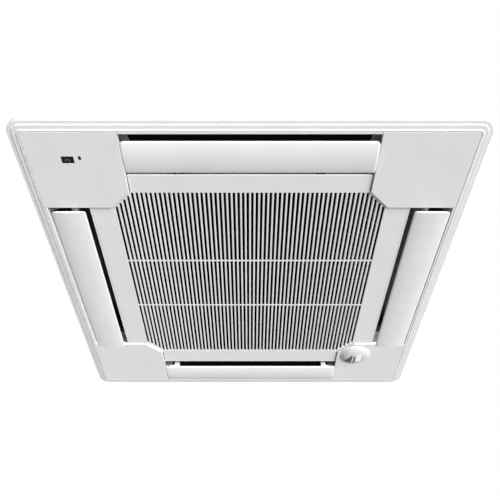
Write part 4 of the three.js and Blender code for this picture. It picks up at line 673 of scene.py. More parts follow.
@dataclass(frozen=True)
class CellFoam(Finish):
    """Foam: cells or beads pressed together, each with its own slight shade, quite matt."""

    cell_mm: float = 1.6
    depth_mm: float = 0.15
    shade: float = 0.72

    def pattern(self, tree: Tree, shader: Node, place: Socket) -> None:
        """Rounded cells with darker joints between them."""
        cells = add_node(tree, "ShaderNodeTexVoronoi", Vector=place, Scale=per_metre(self.cell_mm))
        away = cells.outputs["Distance"]
        tones = (linear(self.colour), darkened(self.colour, self.shade))
        self.two_tone(tree, shader, away, (0.15, 0.7), tones)
        dome = add_node(tree, "ShaderNodeMapRange", Value=away, From_Max=0.8, To_Min=1.0, To_Max=0.0)
        self.relief(tree, shader, dome.outputs[0], self.depth_mm)


@dataclass(frozen=True)
class GalvanisedSteel(Finish):
    """Hot-dipped steel sheet: zinc crystals of 5 to 15 mm that each catch the light differently."""

    spangle_mm: float = 9.0
    dull: str = "#949698"

    def pattern(self, tree: Tree, shader: Node, place: Socket) -> None:
        """Crystals with their own shade and gloss, bent by noise, over faint rolling streaks."""
        bend = add_node(tree, "ShaderNodeTexNoise", Vector=place, Scale=per_metre(16), Detail=2.0)
        pull = add_node(tree, "ShaderNodeVectorMath", {"operation": "SCALE"}, i0=bend.outputs[1], Scale=0.004)
        moved = add_node(tree, "ShaderNodeVectorMath", {"operation": "ADD"}, i0=place, i1=pull.outputs[0])
        crystal = add_node(
            tree, "ShaderNodeTexVoronoi", Vector=moved.outputs[0], Scale=per_metre(self.spangle_mm)
        )
        split = add_node(tree, "ShaderNodeSeparateColor", Color=crystal.outputs["Color"])
        tones = (linear(self.colour), linear(self.dull))
        self.two_tone(tree, shader, split.outputs[0], (0.0, 1.0), tones)
        self.vary_gloss(tree, shader, split.outputs[1], (0.0, 1.0), (-0.04, 0.06))
        self.relief(tree, shader, crystal.outputs["Distance"], 0.003)


@dataclass(frozen=True)
class DrawnMetal(Finish):
    """Copper tube drawn through a die, or brass turned on a lathe: fine lines and slight tarnish."""

    tarnish: str = "#8A4B2C"
    line_mm: float = 1.4

    def pattern(self, tree: Tree, shader: Node, place: Socket) -> None:
        """Patches of tarnish, duller where they are darker, over fine lines along X."""
        patch = add_node(tree, "ShaderNodeTexNoise", Vector=place, Scale=per_metre(22), Detail=4.0)
        tones = (linear(self.colour), linear(self.tarnish))
        self.two_tone(tree, shader, patch.outputs[0], (0.42, 0.72), tones)
        self.vary_gloss(tree, shader, patch.outputs[0], (0.35, 0.75), (-0.05, 0.18))
        stretched = add_node(tree, "ShaderNodeMapping", Vector=place, Scale=(0.06, 1.0, 1.0))
        lines = add_node(
            tree, "ShaderNodeTexNoise", Vector=stretched.outputs[0], Scale=per_metre(self.line_mm), Detail=1.0
        )
        self.relief(tree, shader, lines.outputs[0], 0.01)


@dataclass(frozen=True)
class StackedFins(Finish):
    """Aluminium fins pressed onto tubes: hundreds of thin edges, with painted shade in the gaps between them.

    The real pitch of about 1.4 mm is drawn at 3 mm, the finest that shows.
    """

    pitch_mm: float = 3.0
    # The gap's colour is painted shade between the fins.
    gap: str = "#3B3F43"

    def pattern(self, tree: Tree, shader: Node, place: Socket) -> None:
        """Upright stripes of fin and of painted shade in the gaps, by the fraction of x + y over the pitch.
        """
        axes = add_node(tree, "ShaderNodeSeparateXYZ", Vector=place)
        across = add_node(
            tree, "ShaderNodeMath", {"operation": "ADD"}, i0=axes.outputs[0], i1=axes.outputs[1]
        )
        repeats = per_metre(self.pitch_mm)
        count = add_node(
            tree, "ShaderNodeMath", {"operation": "MULTIPLY"}, i0=across.outputs[0], i1=repeats
        )
        part = add_node(tree, "ShaderNodeMath", {"operation": "PINGPONG"}, i0=count.outputs[0], i1=0.5)
        fold = part.outputs[0]
        self.two_tone(tree, shader, fold, (0.14, 0.3), (linear(self.colour), linear(self.gap)))
        height = add_node(
            tree, "ShaderNodeMapRange", Value=fold, From_Min=0.1, From_Max=0.35, To_Min=1.0, To_Max=0.0
        )
        self.relief(tree, shader, height.outputs[0], 0.6)


@dataclass(frozen=True)
class SmokedWindow(Finish):
    """Tinted acrylic that only infra-red passes: near black, with a dim green arch of the part behind."""

    arch: str = "#66804F"
    arch_radius_mm: float = 4.2
    arch_width_mm: float = 1.7
    centre_mm: Pair = (-370.4, -383.4)

    def pattern(self, tree: Tree, shader: Node, place: Socket) -> None:
        """A band at a given distance from the arch's centre, dimmed to the sides by noise."""
        centre = (*(value * METRES for value in self.centre_mm), PANEL.face * METRES)
        away = add_node(tree, "ShaderNodeVectorMath", {"operation": "DISTANCE"}, i0=place, i1=centre)
        radius = self.arch_radius_mm * METRES
        width = self.arch_width_mm * METRES
        axes = add_node(tree, "ShaderNodeSeparateXYZ", Vector=place)
        limits = (
            (away.outputs["Value"], radius - width, radius),
            (away.outputs["Value"], radius + width, radius),
            (axes.outputs[1], centre[1] + 0.35 * radius, centre[1] - 0.4 * radius),
        )
        share = 1.0
        for value, outside, inside in limits:
            part = add_node(tree, "ShaderNodeMapRange", Value=value, From_Min=outside, From_Max=inside)
            both = add_node(
                tree, "ShaderNodeMath", {"operation": "MULTIPLY"}, i0=part.outputs[0], i1=share
            )
            share = both.outputs[0]
        self.two_tone(tree, shader, share, (0.0, 1.0), (linear(self.colour), linear(self.arch)))
        waves = add_node(tree, "ShaderNodeTexNoise", Vector=place, Scale=per_metre(5), Detail=1.0)
        self.relief(tree, shader, waves.outputs[0], 0.01)


@dataclass(frozen=True)
class CoatedBoard(Finish):
    """Glass-fibre board under a green lacquer, with copper tracks showing paler through it."""

    track: str = "#2F7A4C"

    def pattern(self, tree: Tree, shader: Node, place: Socket) -> None:
        """Rows of tracks from a brick pattern 6 mm wide."""
        bricks = add_node(
            tree,
            "ShaderNodeTexBrick",
            Vector=place,
            Scale=per_metre(6),
            Color1=linear(self.colour),
            Color2=linear(self.colour),
            Mortar=linear(self.track),
        )
        tree.links.new(bricks.outputs[0], shader.inputs["Base Color"])
        self.relief(tree, shader, bricks.outputs[1], 0.05)


@dataclass(frozen=True)
class WovenNet(Finish):
    """Polypropylene net with 1 mm openings: dark, with threads just paler than the gaps."""

    thread: str = "#0B0B0C"
    pitch_mm: float = 1.6

    def pattern(self, tree: Tree, shader: Node, place: Socket) -> None:
        """Two families of threads, by the product of two waves along X and Y."""
        check = add_node(
            tree,
            "ShaderNodeTexChecker",
            Vector=place,
            Scale=per_metre(self.pitch_mm),
            Color1=linear(self.colour),
            Color2=linear(self.thread),
        )
        tree.links.new(check.outputs[0], shader.inputs["Base Color"])
        self.relief(tree, shader, check.outputs[1], 0.1)


PANEL_PLASTIC = MouldedPlastic(
    "satin moulded ABS, panel white", "#EAEAE9", "white_plastic", 0.62, specular=0.12
)
VANE_PLASTIC = MouldedPlastic("satin moulded ABS, vane white", "#EBEBEA", "vane_plastic", 0.58, specular=0.15)
# The slot ends are of the panel's white plastic; their grey is painted shade, since the vanes cast no shadow
# in the key lamp's light.
SLOT_END_PAINTED_SHADE = MouldedPlastic("moulded ABS, slot ends, grey", "#7F8081", "white_plastic", 0.62, specular=0.12)
HEAD_PLASTIC = MouldedPlastic("moulded ABS, sensor head", "#D6D6D5", "vane_plastic", 0.58, specular=0.15)
# The lug is of the head's white plastic; its brighter white is a painted highlight of its lit face.
LUG_PAINTED_HIGHLIGHT = MouldedPlastic("polished ABS, bright white", "#FBFBFB", "white_plastic", 0.3)
GREY_PLASTIC = MouldedPlastic("moulded ABS, grey", "#8E9194", "grey_plastic", 0.5, shade=0.93)
# The eye's dark grey is partly the window's own colour and partly painted shade of the wedge-shaped recess
# that the dome doesn't have cut.
EYE_AND_PAINTED_RECESS_SHADE = MouldedPlastic(
    "moulded ABS, dark grey", "#4A4C4E", "grey_plastic", 0.45, shade=0.9, specular=0.3
)
DARK_PLASTIC = MouldedPlastic("moulded polypropylene, black", "#060607", "grey_plastic", 0.6, specular=0.1)
FAN_PLASTIC = MouldedPlastic("moulded glass-filled ABS, pale grey", "#C9CBCC", "fan_plastic", 0.5)
MOTOR_PAINT = MouldedPlastic("black enamel on pressed steel", "#1D1F22", "motor_black", 0.35, grain_mm=2.0)
LAMP_LENS = MouldedPlastic("moulded lamp lens, black", "#060706", "lamp_plastic", 0.3, specular=0.15)
DUCT_FOAM = CellFoam("closed-cell foam, black", "#070708", "black_foam", 0.95, specular=0.05)
PAN_FOAM = CellFoam("moulded bead foam, charcoal", "#222326", "black_foam", 0.9, cell_mm=3.5, depth_mm=0.3)
LINER_FOAM = CellFoam("expanded bead foam, white", "#DCDCD6", "white_foam", 0.9, cell_mm=4.0, shade=0.88)
SHEET_STEEL = GalvanisedSteel("galvanised sheet steel", "#A4A6A7", "zinc_steel", 0.58, metallic=1.0)
FIN_STACK = StackedFins("pressed aluminium fins", "#C4C7CB", "fins", 0.38, metallic=0.9)
COPPER = DrawnMetal("drawn copper tube", "#C27A4E", "copper", 0.28, metallic=1.0)
BRASS = DrawnMetal("turned brass", "#C8A55A", "brass", 0.3, metallic=1.0, tarnish="#94743A")
WINDOW = SmokedWindow("smoked acrylic window", "#040604", "window_plastic", 0.2, ior=1.49, specular=0.15)
BOARD = CoatedBoard("lacquered circuit board", "#174A2B", "board", 0.35)
NET = WovenNet("woven polypropylene net", "#030304", "net", 0.85, specular=0.05)

# ---------------------------------------------------------------- pieces


def shown(
    name: str, mesh: bpy.types.Mesh, finish: Finish, body: str, nodes: tuple[str, ...]
) -> bpy.types.Object:
    """Puts a piece in the scene, dresses it, and hands it to its body.

    Args:
        name: The piece's name.
        mesh: Its mesh, in metres.
        finish: What it is made of.
        body: The body that it rides on.
        nodes: The solids that it stands for.

    Returns:
        The piece's object.
    """
    mesh.materials.clear()
    mesh.materials.append(finish.material())
    mesh.shade_smooth()
    mesh.set_sharp_from_angle(angle=SHARP)
    piece = bpy.data.objects.new(name, mesh)
    bpy.context.scene.collection.objects.link(piece)
    weighted = piece.modifiers.new("even normals", "WEIGHTED_NORMAL")
    weighted.keep_sharp = True
    weighted.weight = 100
    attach(piece, body)
    if nodes:
        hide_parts(*nodes)
    LOG.info("%s: %d faces, rides on %s", name, len(mesh.polygons), body)
    return piece


def dressed(node: str, finish: Finish) -> None:
    """Gives a solid that stays as it is a better material."""
    solid = frame["nodes"][node]
    solid.material_slots[0].material = finish.material()
    LOG.info("%s: kept, %s", node, finish.name)


def eased_copy(node: str, name: str, finish: Finish, body: str, width: float) -> bpy.types.Object:
    """A copy of a solid with its edges rounded.

    The copy's triangles are merged and its flat faces joined, and every edge sharper than 38
    degrees is rounded over a width.

    Args:
        node: The solid that the piece stands for.
        name: The piece's name.
        finish: What it is made of.
        body: The body that it rides on.
        width: The rounding's width, in millimetres.

    Returns:
        The piece's object.
    """
    mesh = frame["nodes"][node].data.copy()
    mesh.name = name
    net = bmesh.new()
    net.from_mesh(mesh)
    bmesh.ops.remove_doubles(net, verts=net.verts, dist=1e-6)
    bmesh.ops.dissolve_limit(net, angle_limit=math.radians(0.5), verts=net.verts, edges=net.edges)
    net.to_mesh(mesh)
    net.free()
    piece = shown(name, mesh, finish, body, (node,))
    bevel = piece.modifiers.new("eased edges", "BEVEL")
    bevel.width = width * METRES
    bevel.segments = 2
    bevel.limit_method = "ANGLE"
    bevel.angle_limit = SHARP
    piece.modifiers.move(1, 0)
    return piece


# ---------------------------------------------------------------- panel frame


@dataclass
class PanelFrame:
    """The white frame: stepped rim, strips, slots with their bearings, and the grille's pocket."""

    sizes: PanelSizes = PANEL
    step_one_in: float = 9.0
    step_two_in: float = 19.0
    slope_one: float = 0.7
    slope_two: float = 0.6
    pocket_ceiling: float = 12.2
    collar_length: float = 14.0
    collar_bore: float = 4.3
    collar_radius: float = 8.2
    collar_neck: float = 5.8
    lid_reach: float = 54.5
    duct_run: float = 40.9
    duct_wall: float = 3.5
    hook_half: float = 6.0
    eye_inner: float = 1.8
    eye_outer: float = 3.3
    eye_reach: float = 128.0
    boss_at: float = 350.0

    def rim(self) -> np.ndarray:
        """The rim's hollow section, rounded at its edges and carried round the square."""
        s = self.sizes
        one = s.half - self.step_one_in
        two = s.half - self.step_two_in
        middle = s.lip - s.step
        wall = s.wall
        section = np.array(
            [
                [s.half, 0],
                [s.half - wall, 0],
                [s.half - wall, s.lip + wall],
                [one + self.slope_one - 0.5, s.lip + wall],
                [one - self.slope_one - 0.5, middle + wall],
                [two + self.slope_two - 0.5, middle + wall],
                [s.rim_inner + wall, s.face + wall],
                [s.rim_inner + wall, s.deck_top],
                [s.rim_inner, s.deck_top],
                [s.rim_inner, s.face],
                [two - self.slope_two, s.face],
                [two + self.slope_two, middle],
                [one - self.slope_one, middle],
                [one + self.slope_one, s.lip],
                [s.half, s.lip],
            ]
        )
        radii = np.array([0.3, 0.3, 0.5, 0.4, 0.4, 0.4, 0.4, 0.3, 0.3, 0.4, 0.6, 0.6, 0.6, 0.6, 1.4])
        outline = Outline(section[::-1], radii[::-1], 3)
        return swept_square(outline.at(), s.half, s.corner_radius)

    def strip(self) -> Skin:
        """The strip outside a slot, with the deck that carries it, at the front."""
        s = self.sizes
        skin = Skin()
        reach = s.cover_arm - s.seam
        corners = rectangle(s.slot_outer, s.cover_reach, s.face, s.deck_top)
        section = Outline(corners, np.array([1.6, 0.5, 0.4, 0.4]), 5)
        skin.add(standing(plate(section, -reach, reach, 0.35)))
        depth = (-s.rim_inner - 0.4, -s.slot_outer)
        return skin.add(block((-s.wall_arm, s.wall_arm), depth, (s.deck, s.deck_top), 0.2))

    def deck(self) -> np.ndarray:
        """The deck behind a corner cover, at the back right."""
        s = self.sizes
        near = s.wall_sum - s.wall_arm
        far = s.rim_inner + 0.4
        corners = [[near, s.wall_arm], [far, s.wall_arm], [far, far], [s.wall_arm, far], [s.wall_arm, near]]
        return plate(Outline(np.array(corners), np.array([0.3, 0.3, 8.0, 0.3, 0.3])), s.deck, s.deck_top, 0.2)

    def inner_wall(self) -> np.ndarray:
        """The wall between a slot and the grille's pocket, at the front."""
        s = self.sizes
        run = s.wall_arm + s.wall
        return block((-run, run), (-s.slot_inner - 1.3, -s.slot_inner + 2.0), (s.lip, s.neck), 0.4)

    def corner_wall(self) -> np.ndarray:
        """The pocket's wall along a cut-off corner, at the back right."""
        s = self.sizes
        near = s.wall_sum - s.wall_arm
        arm = s.wall_arm
        corners = np.array(
            [
                [near, arm],
                [s.slot_inner, arm],
                [s.slot_inner, arm + s.wall],
                [near + s.wall, arm + s.wall],
                [arm + s.wall, near + s.wall],
                [arm + s.wall, s.slot_inner],
                [arm, s.slot_inner],
                [arm, near],
            ]
        )
        return plate(Outline(corners, 0.4), s.deck, s.neck, 0.3)

    def pocket_roof(self) -> Skin:
        """The pocket's ceiling round the intake opening, with the lip that the seal rests on."""
        s = self.sizes
        k = s.wall_sum - s.wall_arm
        reach = s.slot_inner - 1.0
        arm = s.wall_arm + 1.0
        quarter = np.array([[reach, arm], [k + 1.0, arm], [arm, k + 1.0], [arm, reach]])
        outer = Outline(four_quarters(quarter), 1.0)
        hole = cut_square(s.slats_half + 4.0, s.slats_sum + 4.0)
        skin = Skin()
        skin.add(ring_between(outer, hole, self.pocket_ceiling, self.pocket_ceiling + s.wall), joined=True)
        lip = Outline(cut_square(s.slats_half + 7.0, s.slats_sum + 8.2), 1.0)
        skin.add(ring_between(lip, hole, self.pocket_ceiling + 1.0, s.neck, 0.3), joined=True)
        return skin

    def slot_end(self, motor_side: bool) -> Skin:
        """End wall of a slot with its lid, the duct's solid end and the vane's bearing.

        Args:
            motor_side: Whether the bearing is bored through for the motor's shaft.

        Returns:
            The end at +t of the front slot.
        """
        s = self.sizes
        t = s.wall_arm
        skin = Skin()
        inner = -s.slot_inner + 0.5
        skin.add(block((t, t + s.wall), (-s.slot_outer - s.wall, inner), (s.face + 2.8, s.neck), 0.4))
        lid = (-s.slot_inner - self.lid_reach, inner)
        skin.add(block((s.duct_half, t + 0.5), lid, (s.neck - s.wall, s.neck), 0.3))
        low = s.slot_outer - 0.3
        high = low - self.duct_run
        foot = s.deck + 0.3
        thick = self.duct_wall
        wall = np.array([[low - thick, foot], [low, foot], [high, s.neck], [high - thick, s.neck]])
        skin.add(standing(plate(Outline(wall, 0.35, 2), s.duct_half, t + 0.5, 0.3)))
        start = s.cover_arm - self.collar_length
        end = t + s.wall + (0.2 if motor_side else -1.0)
        collar = s.cover_arm - 0.6
        along = np.array([start, start, collar, collar, end, end])
        bore, radius, neck = self.collar_bore, self.collar_radius, self.collar_neck
        across = np.array([bore, radius, radius, neck, neck, bore])
        section = Outline(np.stack([along, across], axis=1)[::-1], 0.3, 3).at()[:, ::-1]
        skin.add(lying(revolved(section, 40), -s.pivot_r, s.pivot_z), joined=True)
        return skin

    def hook(self, x: float) -> Skin:
        """A hook of the grille's hinge: an arm with an open eye, cut from one outline.

        The eye runs round the pin on two arcs and opens to the front.

        Args:
            x: The hook's middle.

        Returns:
            The hook.
        """
        y = self.sizes.hinge_y
        z = self.sizes.hinge_z
        ends = (x - self.hook_half, x + self.hook_half)
        skin = Skin()
        skin.add(block(ends, (y - 2.5, y + 1.5), (z + 2.2, self.pocket_ceiling + 0.5), 0.4))
        angle = np.radians(np.linspace(-self.eye_reach, self.eye_reach, 25))
        arcs = []
        for radius, turn in ((self.eye_outer, angle), (self.eye_inner, angle[::-1])):
            arcs.append(np.stack([y + radius * np.cos(turn), z + radius * np.sin(turn)], axis=1))
        eye = np.vstack(arcs)
        flat = np.broadcast_to(eye, (2, *eye.shape))
        along = np.array(ends)[:, None] + np.zeros(len(eye))
        return skin.add(np.concatenate([along[..., None], flat], axis=-1))

    def boss(self) -> np.ndarray:
        """The sleeve round a panel screw, at the back right."""
        s = self.sizes
        bottom = s.deck_top - 0.5
        section = Outline(rectangle(3.0, 7.0, bottom, s.neck), 0.4, 2).at()
        return revolved(section, 32, (self.boss_at, self.boss_at))

    def build(self) -> None:
        """Makes the frame and shows it."""
        skin = Skin().add(self.rim(), joined=True)
        side = Skin().merge(self.strip()).add(self.inner_wall())
        ends = Skin().merge(self.slot_end(True)).merge(self.slot_end(False), mirrored=True)
        # The slot ends wear grey as painted shade over their white plastic.
        shown("moulded_slot_ends", Skin().on_four_sides(ends).mesh("slot ends"), SLOT_END_PAINTED_SHADE, "unit", ())
        side.add(self.deck()).add(self.corner_wall()).add(self.boss(), joined=True)
        skin.on_four_sides(side).merge(self.pocket_roof())
        skin.merge(self.hook(self.sizes.hinge_x)).merge(self.hook(-self.sizes.hinge_x))
        shown("moulded_panel_frame", skin.mesh("panel frame"), PANEL_PLASTIC, "unit", ("panel_frame",))
        self.gasket()

    def gasket(self) -> None:
        """The foam strip that seals the rim against the ceiling, bulging a little on its inner side."""
        s = self.sizes
        outer = s.half - s.wall - 0.3
        section = Outline(rectangle(outer - 15.0, outer, s.lip + s.wall + 0.3, 0), 1.8, 4).at()
        skin = Skin().add(swept_square(section, s.half, s.corner_radius, 10), joined=True)
        shown("foam_ceiling_gasket", skin.mesh("gasket"), DUCT_FOAM, "unit", ("ceiling_gasket",))


# ---------------------------------------------------------------- corner covers


@dataclass
class CornerCovers:
    """The four flat covers, with the receiver window, its lamp, and the sensor's hole."""

    sizes: PanelSizes = PANEL
    wall: float = 2.0
    edge: float = 0.7
    window_at: Pair = (369.4, 386.6)
    window_size: Pair = (24.8, 16.0)
    flange: float = 3.0
    lamp_at: Pair = (344.3, 391.0)
    lamp_half: Pair = (3.3, 5.2)
    lamp_edge: float = 2.3
    lamp_dome: float = 0.6

    def outline(self, straight: int = 1) -> Outline:
        """The cover's outline at the back right, its outer corner rounded."""
        s = self.sizes
        near = s.cover_sum - s.cover_arm
        far = s.cover_reach
        arm = s.cover_arm
        corners = [[near, arm], [far, arm], [far, far], [arm, far], [arm, near]]
        return Outline(np.array(corners), np.array([1.0, 1.2, 7.0, 1.2, 1.0]), 6, straight)

    def shell(self) -> list[Pair]:
        """(inset, height) pairs up the skirt's outside, over its rim and down to the face's back."""
        s = self.sizes
        inset, rise = quarter_arc(self.edge, 4)
        face = list(zip(inset, s.face + rise))
        return [*face, (0.0, s.deck - 0.3), (self.wall, s.deck - 0.3), (self.wall, s.face + s.wall)]

    def plain(self) -> np.ndarray:
        """A cover with no hole."""
        return levels(self.shell(), self.outline())

    def with_window(self) -> np.ndarray:
        """The cover round the receiver window: the hole is each outline point held inside a rectangle."""
        half = np.array(self.window_size) / 2 + 0.3
        middle = np.array(self.window_at)
        outline = self.outline()
        hole = np.clip(outline.at(), middle - half, middle + half)
        face = self.sizes.face
        lips = [(0.25, face), (0.0, face + 0.25), (0.0, face + self.sizes.wall)]
        holes = [np.insert(middle + (hole - middle) * (1 + grow / 10), 2, z, axis=1) for grow, z in lips]
        skirt = levels(self.shell(), outline)
        return np.concatenate([skirt, np.stack(holes[::-1])])

    def with_sensor(self) -> np.ndarray:
        """The cover round the sensor's sleeve: the hole is a circle seen from its centre."""
        s = self.sizes
        outside = [(True, inset, height) for inset, height in self.shell()]
        inside = [(False, 0.0, s.face + s.wall), (False, 0.0, s.face + 0.3), (False, 0.3, s.face)]
        return round_frame(self.outline(24), (s.sensor_at, s.sensor_at), 34.0, outside + inside)

    def build(self) -> None:
        """Makes the four covers, the window and the lamp."""
        for corner in Corner:
            skin = Skin()
            if corner is Corner.BACK_RIGHT:
                skin.add(self.with_sensor(), joined=True)
            elif corner is Corner.FRONT_LEFT:
                skin.add(self.with_window(), joined=True)
            else:
                skin.add(self.plain())
            name = corner.name.lower()
            mesh = Skin().merge(skin, corner.value).mesh(name)
            shown("moulded_corner_cover_" + name, mesh, PANEL_PLASTIC, "unit", ("corner_cover_" + name,))
        self.window()
        self.lamp()

    def window(self) -> None:
        """The window: a pane with a rounded face and a flange behind the cover."""
        width, depth = (size / 2 for size in self.window_size)
        face = self.sizes.face
        back = face + self.sizes.wall
        pane = Outline(centred(self.window_at, width, depth), 1.0, 4)
        edge = self.flange
        flange = Outline(centred(self.window_at, width + edge, depth + edge), 1.5, 3)
        skin = Skin().add(plate(pane, face, back + 0.8, 0.35)).add(plate(flange, back + 0.3, back + 2.3, 0.3))
        mesh = Skin().merge(skin, Corner.FRONT_LEFT.value).mesh("window")
        shown("smoked_receiver_window", mesh, WINDOW, "unit", ("receiver_window",))

    def lamp(self) -> None:
        """The lamp: an oval lens whose domed end stands 0.3 mm proud of the cover."""
        face = self.sizes.face
        top = face + self.sizes.wall + 3.0
        oval = Outline(centred(self.lamp_at, *self.lamp_half), self.lamp_half[0] - 0.01, 8)
        angle = np.linspace(0, math.pi / 2, 7)
        heights = face + self.lamp_dome * (0.5 - np.cos(angle))
        dome = zip(self.lamp_edge * (1 - np.sin(angle)), heights)
        skin = Skin().add(levels([*dome, (0.0, top)], oval))
        mesh = Skin().merge(skin, Corner.FRONT_LEFT.value).mesh("lamp")
        shown("status_lamp_lens", mesh, LAMP_LENS, "unit", ("status_lamp",))


# ---------------------------------------------------------------- vanes


@dataclass
class Vane:
    """A curved vane with its arms and pins, and the duct's foam behind it."""

    side: Side
    sizes: PanelSizes = PANEL
    inner_edges: tuple[float, ...] = (360.2, 361.6, 363.4, 361.6)
    outer_edges: tuple[float, ...] = (435.3, 441.0, 436.6, 437.4)
    inner_height: float = -24.4
    outer_height: float = -23.2
    bulge: float = 4.1
    bulge_power: float = 2.2
    thickness: float = 3.0
    thin: float = 1.2
    half: float = 256.2
    outer_corner: float = 9.0
    inner_corner: float = 3.0
    roll_width: float = 3.6
    roll_radius: float = 5.5
    end_wall: float = 1.6
    end_wall_top: float = -22.0
    end_rolls: tuple[float, ...] = (5.0, 1.6, 5.0, 1.6)
    end_turn: float = 0.9
    arm_in: float = 25.4
    arm_width: float = 14.0
    pin_in: float = 26.0
    pin_radius: float = 4.0
    motor_pin_end: float = 271.4

    @property
    def end_roll(self) -> float:
        """Radius over which the underside turns up at the blade's ends."""
        return self.end_rolls[self.side.value]

    @property
    def inner(self) -> Pair:
        """The inner edge's place (r, z)."""
        return self.inner_edges[self.side.value], self.inner_height

    @property
    def outer(self) -> Pair:
        """The outer edge's place (r, z)."""
        return self.outer_edges[self.side.value], self.outer_height

    def underside(self, r: np.ndarray) -> np.ndarray:
        """Height of the blade's underside at r.

        With s the share of the way from the inner to the outer edge, it is the straight chord less
        bulge * (1 - |2 s - 1|^p). Within a width w of each edge it turns up by R - sqrt(R^2 - v^2),
        where v is how far the point lies into that width.
        """
        share = np.clip((r - self.inner[0]) / (self.outer[0] - self.inner[0]), 0, 1)
        chord = self.inner[1] + (self.outer[1] - self.inner[1]) * share
        curve = chord - self.bulge * (1 - np.abs(2 * share - 1) ** self.bulge_power)
        into = np.maximum(self.inner[0] + self.roll_width - r, r - self.outer[0] + self.roll_width)
        into = np.clip(into, 0, self.roll_width)
        return curve + self.roll_radius - np.sqrt(self.roll_radius**2 - into**2)

    def blade(self) -> np.ndarray:
        """The blade: sections across it, drawn in at both ends round its corners.

        A section is a loop along the underside and back over the top. Its thickness grows from thin
        edges to full over twice the roll's width, as a sine of the way in. Within a corner's radius
        c of an end, the edge draws in by c - sqrt(c^2 - u^2), u being the way past the corner's
        start. Over the end's roll R the underside turns up by R - sqrt(R^2 - (e v)^2), v being the way
        into that roll and e the share of a quarter circle that it turns through.

        Returns:
            Rings along the vane, from end to end.
        """
        end = self.half
        near = end - self.outer_corner * (1 - np.cos(np.linspace(0, math.pi / 2, 20)))
        middle = np.linspace(self.outer_corner - end, end - self.outer_corner, 9)[1:-1]
        t = np.concatenate([-near, middle, near[::-1]])
        past = np.abs(t) - end
        past_outer = np.clip(past + self.outer_corner, 0, self.outer_corner)
        past_inner = np.clip(past + self.inner_corner, 0, self.inner_corner)
        outer = self.outer[0] - (self.outer_corner - np.sqrt(self.outer_corner**2 - past_outer**2))
        inner = self.inner[0] + (self.inner_corner - np.sqrt(self.inner_corner**2 - past_inner**2))
        turn = self.end_turn * np.clip(past + self.end_roll, 0, self.end_roll)[:, None]
        share = (1 - np.cos(np.linspace(0, math.pi, 41))) / 2
        r = inner[:, None] + (outer - inner)[:, None] * share[None]
        way_in = np.minimum(r - inner[:, None], outer[:, None] - r) / (2 * self.roll_width)
        fullness = np.sin(np.clip(way_in, 0, 1) * math.pi / 2)
        thickness = self.thin + (self.thickness - self.thin) * fullness
        low = self.underside(r) + self.end_roll - np.sqrt(self.end_roll**2 - turn**2)
        high = np.maximum(self.underside(r) + thickness, low + 0.4)
        loop_r = np.concatenate([r, r[:, ::-1]], axis=1)
        loop_z = np.concatenate([low, high[:, ::-1]], axis=1)
        along = np.broadcast_to(t[:, None], loop_r.shape)
        return standing(np.stack([loop_r, loop_z, along], axis=-1))

    def end_plate(self) -> np.ndarray:
        """The wall that closes the blade's end at +t, from its underside up into the slot."""
        r = np.linspace(self.inner[0] + 2.5, self.outer[0] - 8.5, 25)
        low = np.stack([r, self.underside(r) + 0.5 * self.end_roll + 0.2], axis=1)
        top = self.end_wall_top
        corners = np.vstack([low, [[r[-1] - 2.0, top], [r[0] + 2.0, top]]])
        outer = self.half - 0.3
        return standing(plate(Outline(corners, 0.3, 1), outer - self.end_wall, outer, 0.5, 2))

    def arm(self) -> np.ndarray:
        """An arm from the blade up to the pivot, at +t."""
        s = self.sizes
        left = self.inner[0] + 3.5
        foot = self.inner[1] + 1.6
        right = s.pivot_r + 14.0
        top = s.pivot_z + 8.8
        corners = np.array(
            [
                [left, foot],
                [right, foot - 2.0],
                [right - 5.0, s.pivot_z + 4.0],
                [s.pivot_r + 4.0, top],
                [s.pivot_r - 13.8, top],
                [left + 2.0, s.pivot_z - 4.0],
            ]
        )
        outer = self.half - self.arm_in
        outline = Outline(corners, np.array([1, 1, 4, 4, 5, 4.0]), 4)
        return standing(plate(outline, outer - self.arm_width, outer, 0.9))

    def pin(self, end: float) -> np.ndarray:
        """A pivot pin along X, from the arm to an end with a bevelled edge."""
        s = self.sizes
        start = self.half - self.pin_in
        radius = self.pin_radius
        profile = np.array([[0, start], [radius, start], [radius, end - 0.8], [radius - 0.8, end], [0, end]])
        return lying(revolved(profile, 32), -s.pivot_r, s.pivot_z)

    def build(self) -> None:
        """Makes the vane and dresses its motor and duct."""
        skin = Skin().add(self.blade())
        arm = Skin().add(self.arm()).add(self.end_plate())
        skin.merge(arm).merge(arm, mirrored=True)
        skin.add(self.pin(self.motor_pin_end))
        skin.merge(Skin().add(self.pin(self.sizes.wall_arm)), mirrored=True)
        name = self.side.name.lower()
        mesh = Skin().merge(skin, self.side.value).mesh("vane " + name)
        shown("curved_vane_" + name, mesh, VANE_PLASTIC, "vane_" + name, ("vane_" + name,))
        dressed("vane_motor_" + name, SHEET_STEEL)
        dressed("outlet_liner_" + name, DUCT_FOAM)


# ---------------------------------------------------------------- intake grille


